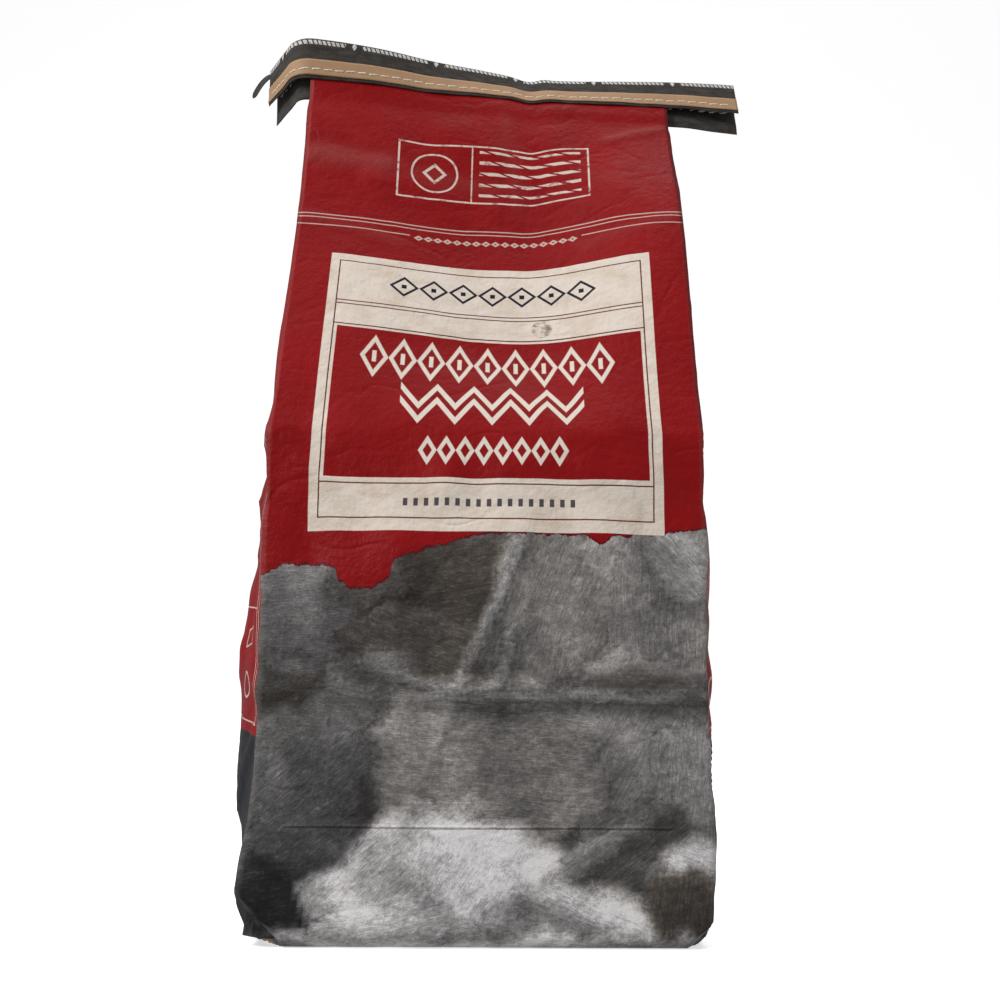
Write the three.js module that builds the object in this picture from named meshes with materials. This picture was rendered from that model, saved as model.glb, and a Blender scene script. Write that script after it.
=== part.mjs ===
// A sewn-mouth paper sack of lump charcoal, standing on its block bottom.
// Millimetres, +Z up, the printed front faces -Y. The origin is the centre of the flat base.
//
// Two plies of paper make a tube of a front panel, a back panel and two gussets, folded
// into a flat base. The body stands square up to the shoulder. Above it the panels
// lean together and the gussets tuck in, down to a flat seam that a folded crepe tape, a paper
// pull strip and two threads close. The charcoal lumps fill the sack past the shoulder.

import * as THREE from 'three';
import { ConvexGeometry } from 'three/addons/geometries/ConvexGeometry.js';
import { mergeVertices } from 'three/addons/utils/BufferGeometryUtils.js';

// ---- driving dimensions -----------------------------------------------------------------

const PANEL_WIDTH = 254;
const GUSSET_DEPTH = 127;
const SHOULDER_Z = 284;       // the body is square up to here
const SEAM_Z = 541;           // the plies lie flat together above here
const MOUTH_Z = 586;          // the cut edge of the plies, inside the tape's fold
const BASE_RADIUS = 8;        // rounding of the base's edges
const SEAM_HALF = 3.4;        // half the depth of the flattened mouth

const PLY = 0.3;              // thickness of each ply
const GAP = 0.3;              // clearance between neighbouring pieces
const PLY_GAP = 1.4;          // room between the plies
const PRESSED_GAP = 0.4;      // and where the seam presses them flat
const TAPE_GAP = 0.7;         // room between the plies and the tape

const SEAM_PRESS = 22;        // the plies close up over this height below the seam

const PANEL_BULGE = 9;        // how far the fill pushes the front and back panels out
const GUSSET_BULGE = 12;      // and the gussets
const FILL_ROUNDNESS = 0.8;   // below 1, the bulge is fuller near the base and the shoulder
const TROUGH_DEPTH = 17;      // the hollow down the front panel above the shoulder
const TROUGH_X = 23;
const TROUGH_FULL_Z = 353;
const TROUGH_FADE_Z = 428;
const BOW_Z = 448;            // height where the front panel's edges stand furthest from straight
const BOW_X = 30;             // it begins this far past the middle on each side
const RIGHT_BOW = 12;
const LEFT_HOLLOW = 9;

const SEAM_LEFT_Y = 7;        // the seam runs from here at the left edge
const SEAM_RIGHT_Y = 27;      // to here at the right edge
const SEAM_DROP = 5.6;        // and is this much lower at the right edge
const SIDE_LEAN = 4.5;        // how far the seam has moved to the right
const LEAN_START = THREE.MathUtils.degToRad(-3);
const LEAN_MIDDLE = THREE.MathUtils.degToRad(27);
const LEAN_END = THREE.MathUtils.degToRad(16);
const LEAN_MIDDLE_X = 45;     // the lean grows from the left edge to here
const LEAN_END_X = 185;       // and falls back from there to here
const LEAN_BEND = 14;         // height over which the seam curls to its lean

const TAPE = 0.6;             // thickness of the crepe tape
const FRONT_FLANGE = 31;      // how far the tape comes down in front
const BACK_FLANGE = 44;       // and behind
const TAIL_LEFT = 54;         // tape beyond the sack's left edge, bent back
const TAIL_RIGHT = 53;        // tape beyond its right edge, straight
const TAIL_BEND = THREE.MathUtils.degToRad(56);
const TAIL_BEND_LENGTH = 16;
const FOLD_DROP = 0.8;          // the tape's fold is rounded over this height

const STRIP = 0.6;            // pull strip thickness
const STRIP_WIDTH = 12;
const STRIP_RISE = 2.4;       // strip's lower edge above the front flange's lower edge
const THREAD = 0.5;           // thread radius
const THREAD_PINCH = 0.2;     // how much thinner it is halfway between stitches
const STITCH = 9.1;           // stitch pitch
const STITCH_PLACE = 0.4;     // how far up the strip the seam runs
const THREAD_END = 6;         // the threads stop this short of the tape's ends

const LUMP_LAYERS = 7;
const LUMP_COLUMNS = 3;
const LUMP_ROWS = 2;
const LUMP_TOP_Z = 368;
const LUMP_PITCH = new THREE.Vector3(82, 62, LUMP_TOP_Z / LUMP_LAYERS);
const LUMP_SCATTER = new THREE.Vector3(34, 22, 26);
const LUMP_NARROWING = 0.35;  // how much closer together the lumps of the top layer lie
const LUMP_SEED = 41;
const FACE_KEEP = 0.66;       // how much of each contact face a lump keeps
const FACE_POINTS = 3;        // corners left on each contact face
const NEIGHBOURS = 24;        // lumps that can bound another

const HALF_WIDTH = PANEL_WIDTH / 2;
const HALF_DEPTH = GUSSET_DEPTH / 2;
const LINER = 2 * PLY + PLY_GAP;                    // both plies and the room between them
const FILL_INSET = LINER + 0.6;                     // the lumps stay this far inside the outer face
const TUCK_INSET = 2 * LINER;                       // and this far from the gussets' inner creases
const TAPE_TOP = MOUTH_Z + GAP + TAPE;
const TAPE_HALF = SEAM_HALF + TAPE_GAP;             // inner face of the tape from the middle
const TAPE_FACE = TAPE_HALF + TAPE;                 // its outer face
const STRIP_BACK = -(TAPE_FACE + GAP);              // back of the pull strip
const STRIP_FOOT = TAPE_TOP - FRONT_FLANGE + STRIP_RISE;

// ---- materials --------------------------------------------------------------------------

const finish = (color, roughness) => new THREE.MeshStandardMaterial({ color, roughness, metalness: 0 });
const printedPaper = finish(0x9c1f24, 0.55);
const kraftPaper = finish(0xa88a63, 0.85);
const crepePaper = finish(0x2b2522, 0.9);
const tanPaper = finish(0xa9805a, 0.75);
const cotton = finish(0xe9dcc6, 0.9);
const charcoal = finish(0x26252a, 0.95);

// ---- helpers ----------------------------------------------------------------------------

const clamp01 = (v) => Math.min(1, Math.max(0, v));

/** Eased step: 0 below `from`, 1 above `to`. */
function ease(from, to, v) {
  const t = clamp01((v - from) / (to - from));
  return t * t * (3 - 2 * t);
}

/** Repeatable random numbers between 0 and 1. */
function randomSource(seed) {
  let state = seed;
  return () => {
    state = (state * 1664525 + 1013904223) % 4294967296;
    return state / 4294967296;
  };
}

/** A closed geometry from points and triangles, turned so that its faces point out. */
function closedGeometry(points, triangles) {
  let volume = 0;
  for (const [a, b, c] of triangles) {
    volume += points[a].dot(new THREE.Vector3().crossVectors(points[b], points[c]));
  }
  const indices = volume < 0 ? flipped(triangles) : triangles;
  const geometry = new THREE.BufferGeometry();
  const coordinates = points.flatMap((p) => p.toArray());
  geometry.setAttribute('position', new THREE.Float32BufferAttribute(coordinates, 3));
  geometry.setIndex(indices.flat());
  geometry.computeVertexNormals();
  return geometry;
}

/**
 * Side faces between neighbouring rings of equal length, each ring a list of indices.
 * Where `turned(i)` is true the quads after place i are cut along their other diagonal.
 */
function sideTriangles(rings, turned = () => false) {
  const triangles = [];
  for (let r = 0; r + 1 < rings.length; r += 1) {
    const low = rings[r];
    const high = rings[r + 1];
    for (let i = 0; i < low.length; i += 1) {
      const j = (i + 1) % low.length;
      if (turned(i)) {
        triangles.push([low[i], low[j], high[i]], [low[j], high[j], high[i]]);
      } else {
        triangles.push([low[i], low[j], high[j]], [low[i], high[j], high[i]]);
      }
    }
  }
  return triangles;
}

const flipped = (triangles) => triangles.map(([a, b, c]) => [a, c, b]);

// ---- the sack's shape -------------------------------------------------------------------

/** How far up from the shoulder, 0, to the seam, 1, a height is. */
const closing = (z) => clamp01((z - SHOULDER_Z) / (SEAM_Z - SHOULDER_Z));

/** Half the sack's depth at a height. */
function halfDepth(z) {
  return HALF_DEPTH + (SEAM_HALF - HALF_DEPTH) * closing(z);
}

/** Share of the fill's bulge at a height, 0 at the base and from the shoulder up. */
function fullness(z) {
  return z < SHOULDER_Z ? Math.sin((Math.PI * z) / SHOULDER_Z) ** FILL_ROUNDNESS : 0;
}

/** Where the gusset's middle crease lies: out past the edge on the body, tucked in above. */
function creaseX(z) {
  const depth = halfDepth(z);
  const tuck = Math.sqrt(Math.max(0, HALF_DEPTH ** 2 - depth ** 2));
  return HALF_WIDTH + GUSSET_BULGE * fullness(z) - tuck;
}

/** How far the fill pushes a panel out at x and z. */
function panelFill(x, z) {
  return PANEL_BULGE * Math.cos((Math.PI * x) / PANEL_WIDTH) * fullness(z);
}

/** How far the front panel stands out from the plain wedge: fill, trough and bowed edges. */
function frontRelief(x, z) {
  const reach = x > TROUGH_X ? HALF_WIDTH - TROUGH_X : HALF_WIDTH + TROUGH_X;
  const hollow = ease(SHOULDER_Z, TROUGH_FULL_Z, z) * (1 - ease(TROUGH_FADE_Z, SEAM_Z, z));
  const trough = TROUGH_DEPTH * hollow * (1 - ease(0, 1, Math.abs(x - TROUGH_X) / reach));
  const bend = ease(SHOULDER_Z, BOW_Z, z) * (1 - ease(BOW_Z, SEAM_Z, z));
  const bow = RIGHT_BOW * ease(-BOW_X, HALF_WIDTH, x) - LEFT_HOLLOW * ease(-BOW_X, HALF_WIDTH, -x);
  return panelFill(x, z) - trough + bend * bow;
}

const PANEL_STATIONS = [-84, -56, -28, 0, 28, 56, 84];
const EDGE_PARTS = 3;         // pieces that each gusset half and each panel end is divided into
const PANEL_PARTS = PANEL_STATIONS.length - 1 + 2 * EDGE_PARTS;
const RING_SIZE = 2 * PANEL_PARTS + 4 * EDGE_PARTS;

/** The sack's outline at a height: front panel, right gusset, back panel, left gusset. */
function outline(z) {
  const depth = halfDepth(z);
  const crease = creaseX(z);
  const front = [-HALF_WIDTH, ...PANEL_STATIONS, HALF_WIDTH];
  const back = PANEL_STATIONS.map((x) => new THREE.Vector2(-x, depth + panelFill(x, z)));
  return [
    ...front.map((x) => new THREE.Vector2(x, -depth - frontRelief(x, z))),
    new THREE.Vector2(crease, 0),
    new THREE.Vector2(HALF_WIDTH, depth),
    ...back,
    new THREE.Vector2(-HALF_WIDTH, depth),
    new THREE.Vector2(-crease, 0),
  ];
}

/** An outline moved inwards by a distance, mitred at its corners. */
function inset(polygon, distance) {
  const count = polygon.length;
  const normals = polygon.map((p, i) => {
    const edge = polygon[(i + 1) % count].clone().sub(p).normalize();
    return new THREE.Vector2(-edge.y, edge.x);
  });
  return polygon.map((p, i) => {
    const before = normals[(i + count - 1) % count];
    const after = normals[i];
    const reach = distance / (1 + before.dot(after));
    return p.clone().addScaledVector(before, reach).addScaledVector(after, reach);
  });
}

/** An outline with its gusset halves and panel ends divided, the same way on every ring. */
function divided(polygon) {
  const half = polygon.length / 2;
  return polygon.flatMap((p, i) => {
    const next = polygon[(i + 1) % polygon.length];
    const startsAtEnd = i % half === 0 || i % half >= PANEL_STATIONS.length;
    const parts = startsAtEnd ? EDGE_PARTS : 1;
    return Array.from({ length: parts }, (_, k) => p.clone().lerp(next, k / parts));
  });
}

/** The seam's place behind the sack's middle plane at x. */
function seamY(x) {
  return SEAM_LEFT_Y + (SEAM_RIGHT_Y - SEAM_LEFT_Y) * ((x + HALF_WIDTH) / PANEL_WIDTH);
}

/** How far the seam leans back at x. */
function seamLean(x) {
  const rise = (LEAN_MIDDLE - LEAN_START) * ease(-HALF_WIDTH, LEAN_MIDDLE_X, x);
  return LEAN_START + rise + (LEAN_END - LEAN_MIDDLE) * ease(LEAN_MIDDLE_X, LEAN_END_X, x);
}

/** Height along the seam turned into height and setback: an arc, then straight. */
function curl(height, lean) {
  const arc = Math.min(height, LEAN_BEND);
  const angle = (lean * arc) / LEAN_BEND;
  const radius = LEAN_BEND / lean;
  const rest = height - arc;
  return {
    up: radius * Math.sin(angle) + rest * Math.cos(angle),
    back: radius * (1 - Math.cos(angle)) + rest * Math.sin(angle),
    angle,
  };
}

/** Moves a point of the straight sack to its place: the shoulders lean, the seam curls back. */
function settle(x, y, z) {
  const t = closing(z);
  const drop = (SEAM_DROP * t * x) / PANEL_WIDTH;
  if (z <= SEAM_Z) {
    return new THREE.Vector3(x + (SIDE_LEAN * z) / SEAM_Z, y + t * seamY(x), z - drop);
  }
  const bend = curl(z - SEAM_Z, seamLean(x));
  return new THREE.Vector3(
    x + SIDE_LEAN,
    seamY(x) + bend.back + y * Math.cos(bend.angle),
    SEAM_Z + bend.up - y * Math.sin(bend.angle) - drop,
  );
}

const BASE_TURNS = [0, 30, 60, 90].map(THREE.MathUtils.degToRad);
const SACK_LEVELS = [
  24, 60, 105, 150, 195, 235, 262, 276, 284, 285.5, 288, 294, 302, 314, 330, 350,
  374, 398, 420, 441, 462, 481, 497, 510, 522, 532,
];
const SEAM_LEVELS = [SEAM_Z, SEAM_Z + 8, SEAM_Z + LEAN_BEND, SEAM_Z + 30];

/** Rings of points up the sack, on a surface that lies `depth` inside its outer face. */
function sackRings(depthAt) {
  const depth = depthAt(0);
  const rings = BASE_TURNS.map((turn) => {
    const around = inset(outline(BASE_RADIUS), BASE_RADIUS - (BASE_RADIUS - depth) * Math.sin(turn));
    const z = BASE_RADIUS - (BASE_RADIUS - depth) * Math.cos(turn);
    return divided(around).map((p) => settle(p.x, p.y, z));
  });
  for (const z of [...SACK_LEVELS, ...SEAM_LEVELS, MOUTH_Z]) {
    rings.push(divided(inset(outline(z), depthAt(z))).map((p) => settle(p.x, p.y, z)));
  }
  return rings;
}

/** Closes a sack ring with strips between its front and back halves. */
function baseTriangles(ring) {
  const at = (i) => ring[(i + RING_SIZE) % RING_SIZE];
  const first = -EDGE_PARTS;
  const last = PANEL_PARTS + EDGE_PARTS;
  const across = (i) => 2 * last - i;
  const triangles = [];
  for (let i = first; i < last; i += 1) {
    triangles.push([at(i), at(i + 1), at(across(i + 1))], [at(i), at(across(i + 1)), at(across(i))]);
  }
  return triangles.filter(([a, b, c]) => a !== b && b !== c && c !== a);
}

/** One ply: an outer and an inner surface, joined around the mouth. */
function plyGeometry(depthAt) {
  const outer = sackRings(depthAt);
  const inner = sackRings((z) => depthAt(z) + PLY);
  const points = [...outer.flat(), ...inner.flat()];
  const indexRing = (r) => Array.from({ length: RING_SIZE }, (_, i) => r * RING_SIZE + i);
  const outerRings = outer.map((_, r) => indexRing(r));
  const innerRings = inner.map((_, r) => indexRing(outer.length + r));
  const mouth = sideTriangles([outerRings.at(-1), innerRings.at(-1)]);
  const outside = [...sideTriangles(outerRings), ...flipped(baseTriangles(outerRings[0]))];
  const inside = [...flipped(sideTriangles(innerRings)), ...baseTriangles(innerRings[0])];
  return closedGeometry(points, [...outside, ...mouth, ...inside]);
}

// ---- the closure ------------------------------------------------------------------------

/** Plan path of the tape: place, direction across it and lean at a distance from the left edge. */
function tapePath(distance) {
  const slope = Math.atan2(SEAM_RIGHT_Y - SEAM_LEFT_Y, PANEL_WIDTH);
  if (distance >= 0) {
    const x = distance - HALF_WIDTH;
    return { x, y: seamY(x), heading: slope, lean: seamLean(x), along: x };
  }
  const back = -distance;
  const arc = Math.min(back, TAIL_BEND_LENGTH);
  const turn = (TAIL_BEND * arc) / TAIL_BEND_LENGTH;
  const radius = TAIL_BEND_LENGTH / TAIL_BEND;
  const rest = back - arc;
  const aside = radius * Math.sin(turn) + rest * Math.cos(turn);
  const behind = radius * (1 - Math.cos(turn)) + rest * Math.sin(turn);
  return {
    x: -HALF_WIDTH - aside * Math.cos(slope) + behind * Math.sin(slope),
    y: seamY(-HALF_WIDTH) + behind * Math.cos(slope) - aside * Math.sin(slope),
    heading: slope - turn,
    lean: LEAN_START,
    along: -HALF_WIDTH,
  };
}

/** A point of the closure: distance along it, offset behind its middle and height before leaning. */
function closurePoint(distance, offset, z) {
  const path = tapePath(distance);
  const bend = curl(Math.max(0, z - SEAM_Z), path.lean);
  const out = bend.back + offset * Math.cos(bend.angle);
  const up = bend.up - offset * Math.sin(bend.angle) + Math.min(0, z - SEAM_Z);
  return new THREE.Vector3(
    SIDE_LEAN + path.x - out * Math.sin(path.heading),
    path.y + out * Math.cos(path.heading),
    SEAM_Z + up - (SEAM_DROP * path.along) / PANEL_WIDTH,
  );
}

/**
 * A closed band: one section of [offset, height] points carried along the closure. The first
 * half of the section runs along one face and the second half back along the other.
 */
function bandGeometry(section, distances) {
  const points = [];
  const rings = distances.map((distance, r) => section(distance).map(([offset, z], i, all) => {
    points.push(closurePoint(distance, offset, z));
    return r * all.length + i;
  }));
  const size = rings[0].length;
  const cap = (ring) => {
    const triangles = [];
    for (let i = 0; i < size / 2 - 1; i += 1) {
      const j = size - 1 - i;
      triangles.push([ring[i], ring[i + 1], ring[j - 1]], [ring[i], ring[j - 1], ring[j]]);
    }
    return triangles;
  };
  const sides = sideTriangles(rings, (i) => i >= size / 2);
  return closedGeometry(points, [...sides, ...flipped(cap(rings[0])), ...cap(rings.at(-1))]);
}

/** Evenly spaced distances along the closure. */
function stations(from, to, count) {
  return Array.from({ length: count + 1 }, (_, i) => from + ((to - from) * i) / count);
}

/** The folded tape's section: down the outside, up the inside, around the mouth. */
function tapeSection() {
  const frontFoot = TAPE_TOP - FRONT_FLANGE;
  const backFoot = TAPE_TOP - BACK_FLANGE;
  const front = SEAM_LEVELS.filter((z) => z > frontFoot + 1);
  const back = SEAM_LEVELS.filter((z) => z > backFoot + 1);
  const wall = (offset, heights) => heights.map((z) => [offset, z]);
  const fold = (half, top, corner) => [[-half, corner], [-half / 2, top], [half / 2, top], [half, corner]];
  const corner = TAPE_TOP - FOLD_DROP;
  return [
    ...wall(-TAPE_FACE, [frontFoot, ...front]),
    ...fold(TAPE_FACE, TAPE_TOP, corner),
    ...wall(TAPE_FACE, [backFoot, ...back].toReversed()),
    ...wall(TAPE_HALF, [backFoot, ...back]),
    ...fold(TAPE_HALF, TAPE_TOP - TAPE, corner).toReversed(),
    ...wall(-TAPE_HALF, [frontFoot, ...front].toReversed()),
  ];
}

/** Distances across the sack that match the divisions of its rings. */
const SEAM_STATIONS = divided(outline(MOUTH_Z)).slice(0, PANEL_PARTS + 1).map((p) => p.x + HALF_WIDTH);

const TAPE_STATIONS = [
  ...stations(-TAIL_LEFT, -TAIL_BEND_LENGTH, 2),
  ...stations(-TAIL_BEND_LENGTH, 0, 4).slice(1),
  ...SEAM_STATIONS.slice(1),
  ...stations(PANEL_WIDTH, PANEL_WIDTH + TAIL_RIGHT, 3).slice(1),
];

/** The pull strip's section, flat against the front flange. */
function stripSection() {
  const heights = [STRIP_FOOT, STRIP_FOOT + STRIP_WIDTH / 2, STRIP_FOOT + STRIP_WIDTH];
  return [
    ...heights.map((z) => [STRIP_BACK - STRIP, z]),
    ...heights.toReversed().map((z) => [STRIP_BACK, z]),
  ];
}

/** A thread that swells out of the face at each stitch and thins between them. */
function threadGeometry(middle, side, height) {
  const from = THREAD_END - TAIL_LEFT;
  const to = PANEL_WIDTH + TAIL_RIGHT - THREAD_END;
  const count = 2 * Math.round((to - from) / STITCH);
  const places = stations(from, to, count);
  const radius = (distance) => {
    const phase = (Math.PI * (distance - from) * count) / (to - from);
    return THREAD * (1 - THREAD_PINCH * (1 - Math.cos(phase)));
  };
  const section = (distance) => {
    const r = radius(distance);
    const offset = middle + side * r;
    return [[offset - r, height], [offset, height + r], [offset + r, height], [offset, height - r]];
  };
  return bandGeometry(section, places);
}

// ---- the fill ---------------------------------------------------------------------------

const TUCK_HEIGHTS = [300, 331];    // flats touch the tucked gussets' creases here

/** A half-space as [normal, distance]: everything behind a plane that lies `inset` inside a point. */
function plane(x, y, z, point, inset) {
  const normal = new THREE.Vector3(x, y, z).normalize();
  return [normal, normal.dot(point) - inset];
}

/** The room inside the inner ply, as half-spaces, a little short of the paper everywhere. */
function fillRoom() {
  const round = BASE_RADIUS * (1 - Math.SQRT1_2);
  const hollow = settle(TROUGH_X, TROUGH_DEPTH - halfDepth(TROUGH_FULL_Z), TROUGH_FULL_Z);
  const rear = settle(-HALF_WIDTH, halfDepth(LUMP_TOP_Z), LUMP_TOP_Z);
  const planes = [
    plane(0, 0, -1, new THREE.Vector3(), FILL_INSET),
    plane(0, 0, 1, new THREE.Vector3(0, 0, LUMP_TOP_Z), 0),
  ];
  for (const [side, top] of [[-1, hollow], [1, rear]]) {
    const shoulder = new THREE.Vector3(0, side * HALF_DEPTH, SHOULDER_Z);
    const foot = new THREE.Vector3(0, side * (HALF_DEPTH - round), round);
    planes.push(plane(0, side, 0, shoulder, FILL_INSET));
    planes.push(plane(0, side, -1, foot, FILL_INSET));
    planes.push(plane(0, side * (top.z - SHOULDER_Z), HALF_DEPTH - side * top.y, shoulder, FILL_INSET));
  }
  for (const side of [-1, 1]) {
    const foot = new THREE.Vector3(side * (HALF_WIDTH - round), 0, round);
    planes.push(plane(side, 0, 0, new THREE.Vector3(side * HALF_WIDTH, 0, 0), FILL_INSET));
    planes.push(plane(side, 0, -1, foot, FILL_INSET));
    for (const z of TUCK_HEIGHTS) {
      const crease = new THREE.Vector3(side * creaseX(z), 0, z);
      planes.push(plane(side, 0, creaseX(z) - creaseX(z + 1), crease, TUCK_INSET));
    }
  }
  return planes;
}

/** One seed for each lump: a loose grid that narrows with the sack. */
function lumpSeeds() {
  const random = randomSource(LUMP_SEED);
  const around = () => random() - 0.5;
  const seeds = [];
  for (let layer = 0; layer < LUMP_LAYERS; layer += 1) {
    const height = (layer + 0.5) * LUMP_PITCH.z;
    const narrow = 1 - LUMP_NARROWING * ease(SHOULDER_Z - LUMP_PITCH.z, LUMP_TOP_Z, height);
    for (let column = 0; column < LUMP_COLUMNS; column += 1) {
      for (let row = 0; row < LUMP_ROWS; row += 1) {
        const place = new THREE.Vector3(column - (LUMP_COLUMNS - 1) / 2, row - (LUMP_ROWS - 1) / 2, 0);
        const seed = place.multiply(LUMP_PITCH).add(new THREE.Vector3(0, 0, height));
        seed.add(new THREE.Vector3(around(), around(), around()).multiply(LUMP_SCATTER));
        seeds.push(seed.multiply(new THREE.Vector3(narrow, narrow, 1)));
      }
    }
  }
  return seeds;
}

/** The corner points of a convex room given by half-spaces, listed for each of its faces. */
function roomFaces(planes) {
  const faces = planes.map(() => []);
  const point = new THREE.Vector3();
  for (let a = 0; a < planes.length; a += 1) {
    for (let b = a + 1; b < planes.length; b += 1) {
      const line = new THREE.Vector3().crossVectors(planes[a][0], planes[b][0]);
      for (let c = b + 1; c < planes.length; c += 1) {
        const scale = line.dot(planes[c][0]);
        if (Math.abs(scale) > 1e-6) {
          point.copy(line).multiplyScalar(planes[c][1]);
          point.addScaledVector(new THREE.Vector3().crossVectors(planes[b][0], planes[c][0]), planes[a][1]);
          point.addScaledVector(new THREE.Vector3().crossVectors(planes[c][0], planes[a][0]), planes[b][1]);
          point.divideScalar(scale);
          if (planes.every(([normal, limit]) => normal.dot(point) <= limit + 1e-6)) {
            [a, b, c].forEach((face) => faces[face].push(point.clone()));
          }
        }
      }
    }
  }
  return faces.filter((face) => face.length > 2);
}

/** A broken lump: it meets its neighbours on small flats, with its corners knocked off. */
function lumpGeometry(seed, seeds, room) {
  const near = seeds.filter((other) => other !== seed);
  near.sort((a, b) => a.distanceTo(seed) - b.distanceTo(seed));
  const planes = [...room];
  for (const other of near.slice(0, NEIGHBOURS)) {
    const middle = other.clone().add(seed).multiplyScalar(0.5);
    planes.push(plane(...other.clone().sub(seed).toArray(), middle, GAP / 2));
  }
  const points = [];
  for (const face of roomFaces(planes)) {
    const centre = face.reduce((sum, p) => sum.add(p), new THREE.Vector3()).divideScalar(face.length);
    face.sort((p, q) => q.distanceTo(centre) - p.distanceTo(centre));
    const kept = face.slice(0, FACE_POINTS);
    points.push(...kept.map((p) => centre.clone().lerp(p, FACE_KEEP)));
  }
  points.forEach((p) => p.setX(p.x + (SIDE_LEAN * p.z) / SEAM_Z));
  const hull = new ConvexGeometry(points);
  hull.deleteAttribute('normal');
  return mergeVertices(hull, 1e-3);
}

// ---- the assembly -----------------------------------------------------------------------

const group = new THREE.Group();

function add(name, geometry, material) {
  const mesh = new THREE.Mesh(geometry, material);
  mesh.name = name;
  group.add(mesh);
}

const pressed = (z) => ease(SEAM_Z - SEAM_PRESS, SEAM_Z, z);
const linerDepth = (z) => PLY + PLY_GAP + (PRESSED_GAP - PLY_GAP) * pressed(z);
add('outer_ply', plyGeometry(() => 0), printedPaper);
add('inner_ply', plyGeometry(linerDepth), kraftPaper);
add('binding_tape', bandGeometry(tapeSection, TAPE_STATIONS), crepePaper);
add('pull_strip', bandGeometry(stripSection, TAPE_STATIONS), tanPaper);

const stitchHeight = STRIP_FOOT + STITCH_PLACE * STRIP_WIDTH;
add('needle_thread', threadGeometry(STRIP_BACK - STRIP - GAP, -1, stitchHeight), cotton);
add('looper_thread', threadGeometry(TAPE_FACE + GAP, 1, stitchHeight), cotton);

const seeds = lumpSeeds();
const room = fillRoom();
seeds.forEach((seed, i) => {
  const name = `charcoal_lump_${String(i + 1).padStart(2, '0')}`;
  add(name, lumpGeometry(seed, seeds, room), charcoal);
});

export default group;
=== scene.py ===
"""A sewn paper sack of lump charcoal, built around its CAD frame.

The shapes are worked out in millimetres and put into metres when a mesh is made. A place on
the sack is given by p, the distance round its perimeter with 0 at the middle of the front,
and v, the distance up the paper from the edge of the base.
"""

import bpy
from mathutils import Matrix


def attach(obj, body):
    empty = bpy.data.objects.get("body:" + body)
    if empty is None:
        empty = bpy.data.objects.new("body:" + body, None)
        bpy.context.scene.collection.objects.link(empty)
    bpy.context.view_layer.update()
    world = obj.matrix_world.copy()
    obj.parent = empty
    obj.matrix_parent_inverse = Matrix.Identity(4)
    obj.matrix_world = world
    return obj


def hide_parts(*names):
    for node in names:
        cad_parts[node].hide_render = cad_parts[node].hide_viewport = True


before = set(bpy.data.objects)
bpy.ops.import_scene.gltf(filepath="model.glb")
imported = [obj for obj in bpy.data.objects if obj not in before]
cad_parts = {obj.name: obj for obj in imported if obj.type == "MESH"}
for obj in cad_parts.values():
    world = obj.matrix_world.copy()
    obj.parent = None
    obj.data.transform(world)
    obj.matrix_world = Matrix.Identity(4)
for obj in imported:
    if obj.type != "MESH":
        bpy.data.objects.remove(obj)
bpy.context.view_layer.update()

import functools
import math

import bmesh
import bpy
import numpy as np
from mathutils import Matrix, Vector

bl_info = {
    "name": "Charcoal Sack",
    "version": (1, 0, 0),
    "blender": (4, 5, 0),
    "location": "3D View > Sidebar > Charcoal Sack",
    "description": "Builds a printed, sewn paper sack of lump charcoal around its CAD frame",
    "category": "Add Mesh",
}

MM = 0.001
BODY = "root"
LUMP_NODES = "charcoal_lump"
PRINT_UV = "print"
WEAR = "wear"
LUMP_AND_CREASE_LIGHT_ATTRIBUTES = ("tone", "warmth", "grain", "edge")
MERGE_DISTANCE = 1e-6

# The sack's shape, in millimetres
SHOULDER_Z = 284
SEAM_Z = 541
MOUTH_Z = 586
BASE_RADIUS = 8
SEAM_HALF = 2.0
PANEL_BULGE = 9
GUSSET_BULGE = 12
FILL_ROUNDNESS = 0.8
TROUGH_DEPTH = 17
TROUGH_X = 23
TROUGH_FULL_Z = 353
TROUGH_FADE_Z = 428
BOW_Z = 448
BOW_X = 30
RIGHT_BOW = 12
LEFT_HOLLOW = 9
SEAM_LEFT_Y = 7
SEAM_RIGHT_Y = 27
SEAM_DROP = 5.6
SIDE_LEAN = 4.5
LEAN_START = math.radians(-3)
LEAN_MIDDLE = math.radians(27)
LEAN_END = math.radians(16)
LEAN_MIDDLE_X = 45
LEAN_END_X = 185
LEAN_BEND = 14
LEAST_LEAN = 1e-4

# A pressed gusset, in shares: its tuck, its edges, and how closed the sack is as it is pressed
TUCK_BAND = 0.06
EDGE_BAND = 0.93
PRESS_START = 0.82
PRESS_END = 0.98

# The closure, in millimetres; the thread's twist and press are shares of its radius
TAPE_RISE = 0.9
TAPE_OUT = 0.7
TAIL_LEFT = 54
TAIL_RIGHT = 53
TAIL_BEND = math.radians(56)
TAIL_BEND_LENGTH = 16
STRIP_RISE = 2.4
STITCH_PLACE = 0.4
THREAD_END = 6
FLANGE_LENGTH = 30
CORNER_LENGTH = 24
CORNER_WIDTH = 6.0
THREAD_LOBES = 2
THREAD_TWIST = 1.2
THREAD_PRESS = 0.22

# Thickness of the tape and the strip, in metres
TAPE_THICKNESS = 0.00035
STRIP_THICKNESS = 0.0003

# The paper's relief. Facets: their size in millimetres, share of the crumple, random seed.
# LOW_SHARE is how much of a hollow counts as a rise where the sack is pressed.
FACET_SIZES = [(46, 1.9, 11), (21, 0.9, 23), (9.5, 0.22, 37)]
LATTICE_ROWS = 97
LOW_SHARE = 0.45
SWELL_HEIGHT = 2.4
SWELL_SEED = 3
SWELL_COUNT = 70
CREASE_GAIN = 1.5
EDGE_SHIFT = 9
EDGE_SHIFT_BAND = 70
GUSSET_DRAW = 5

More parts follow.
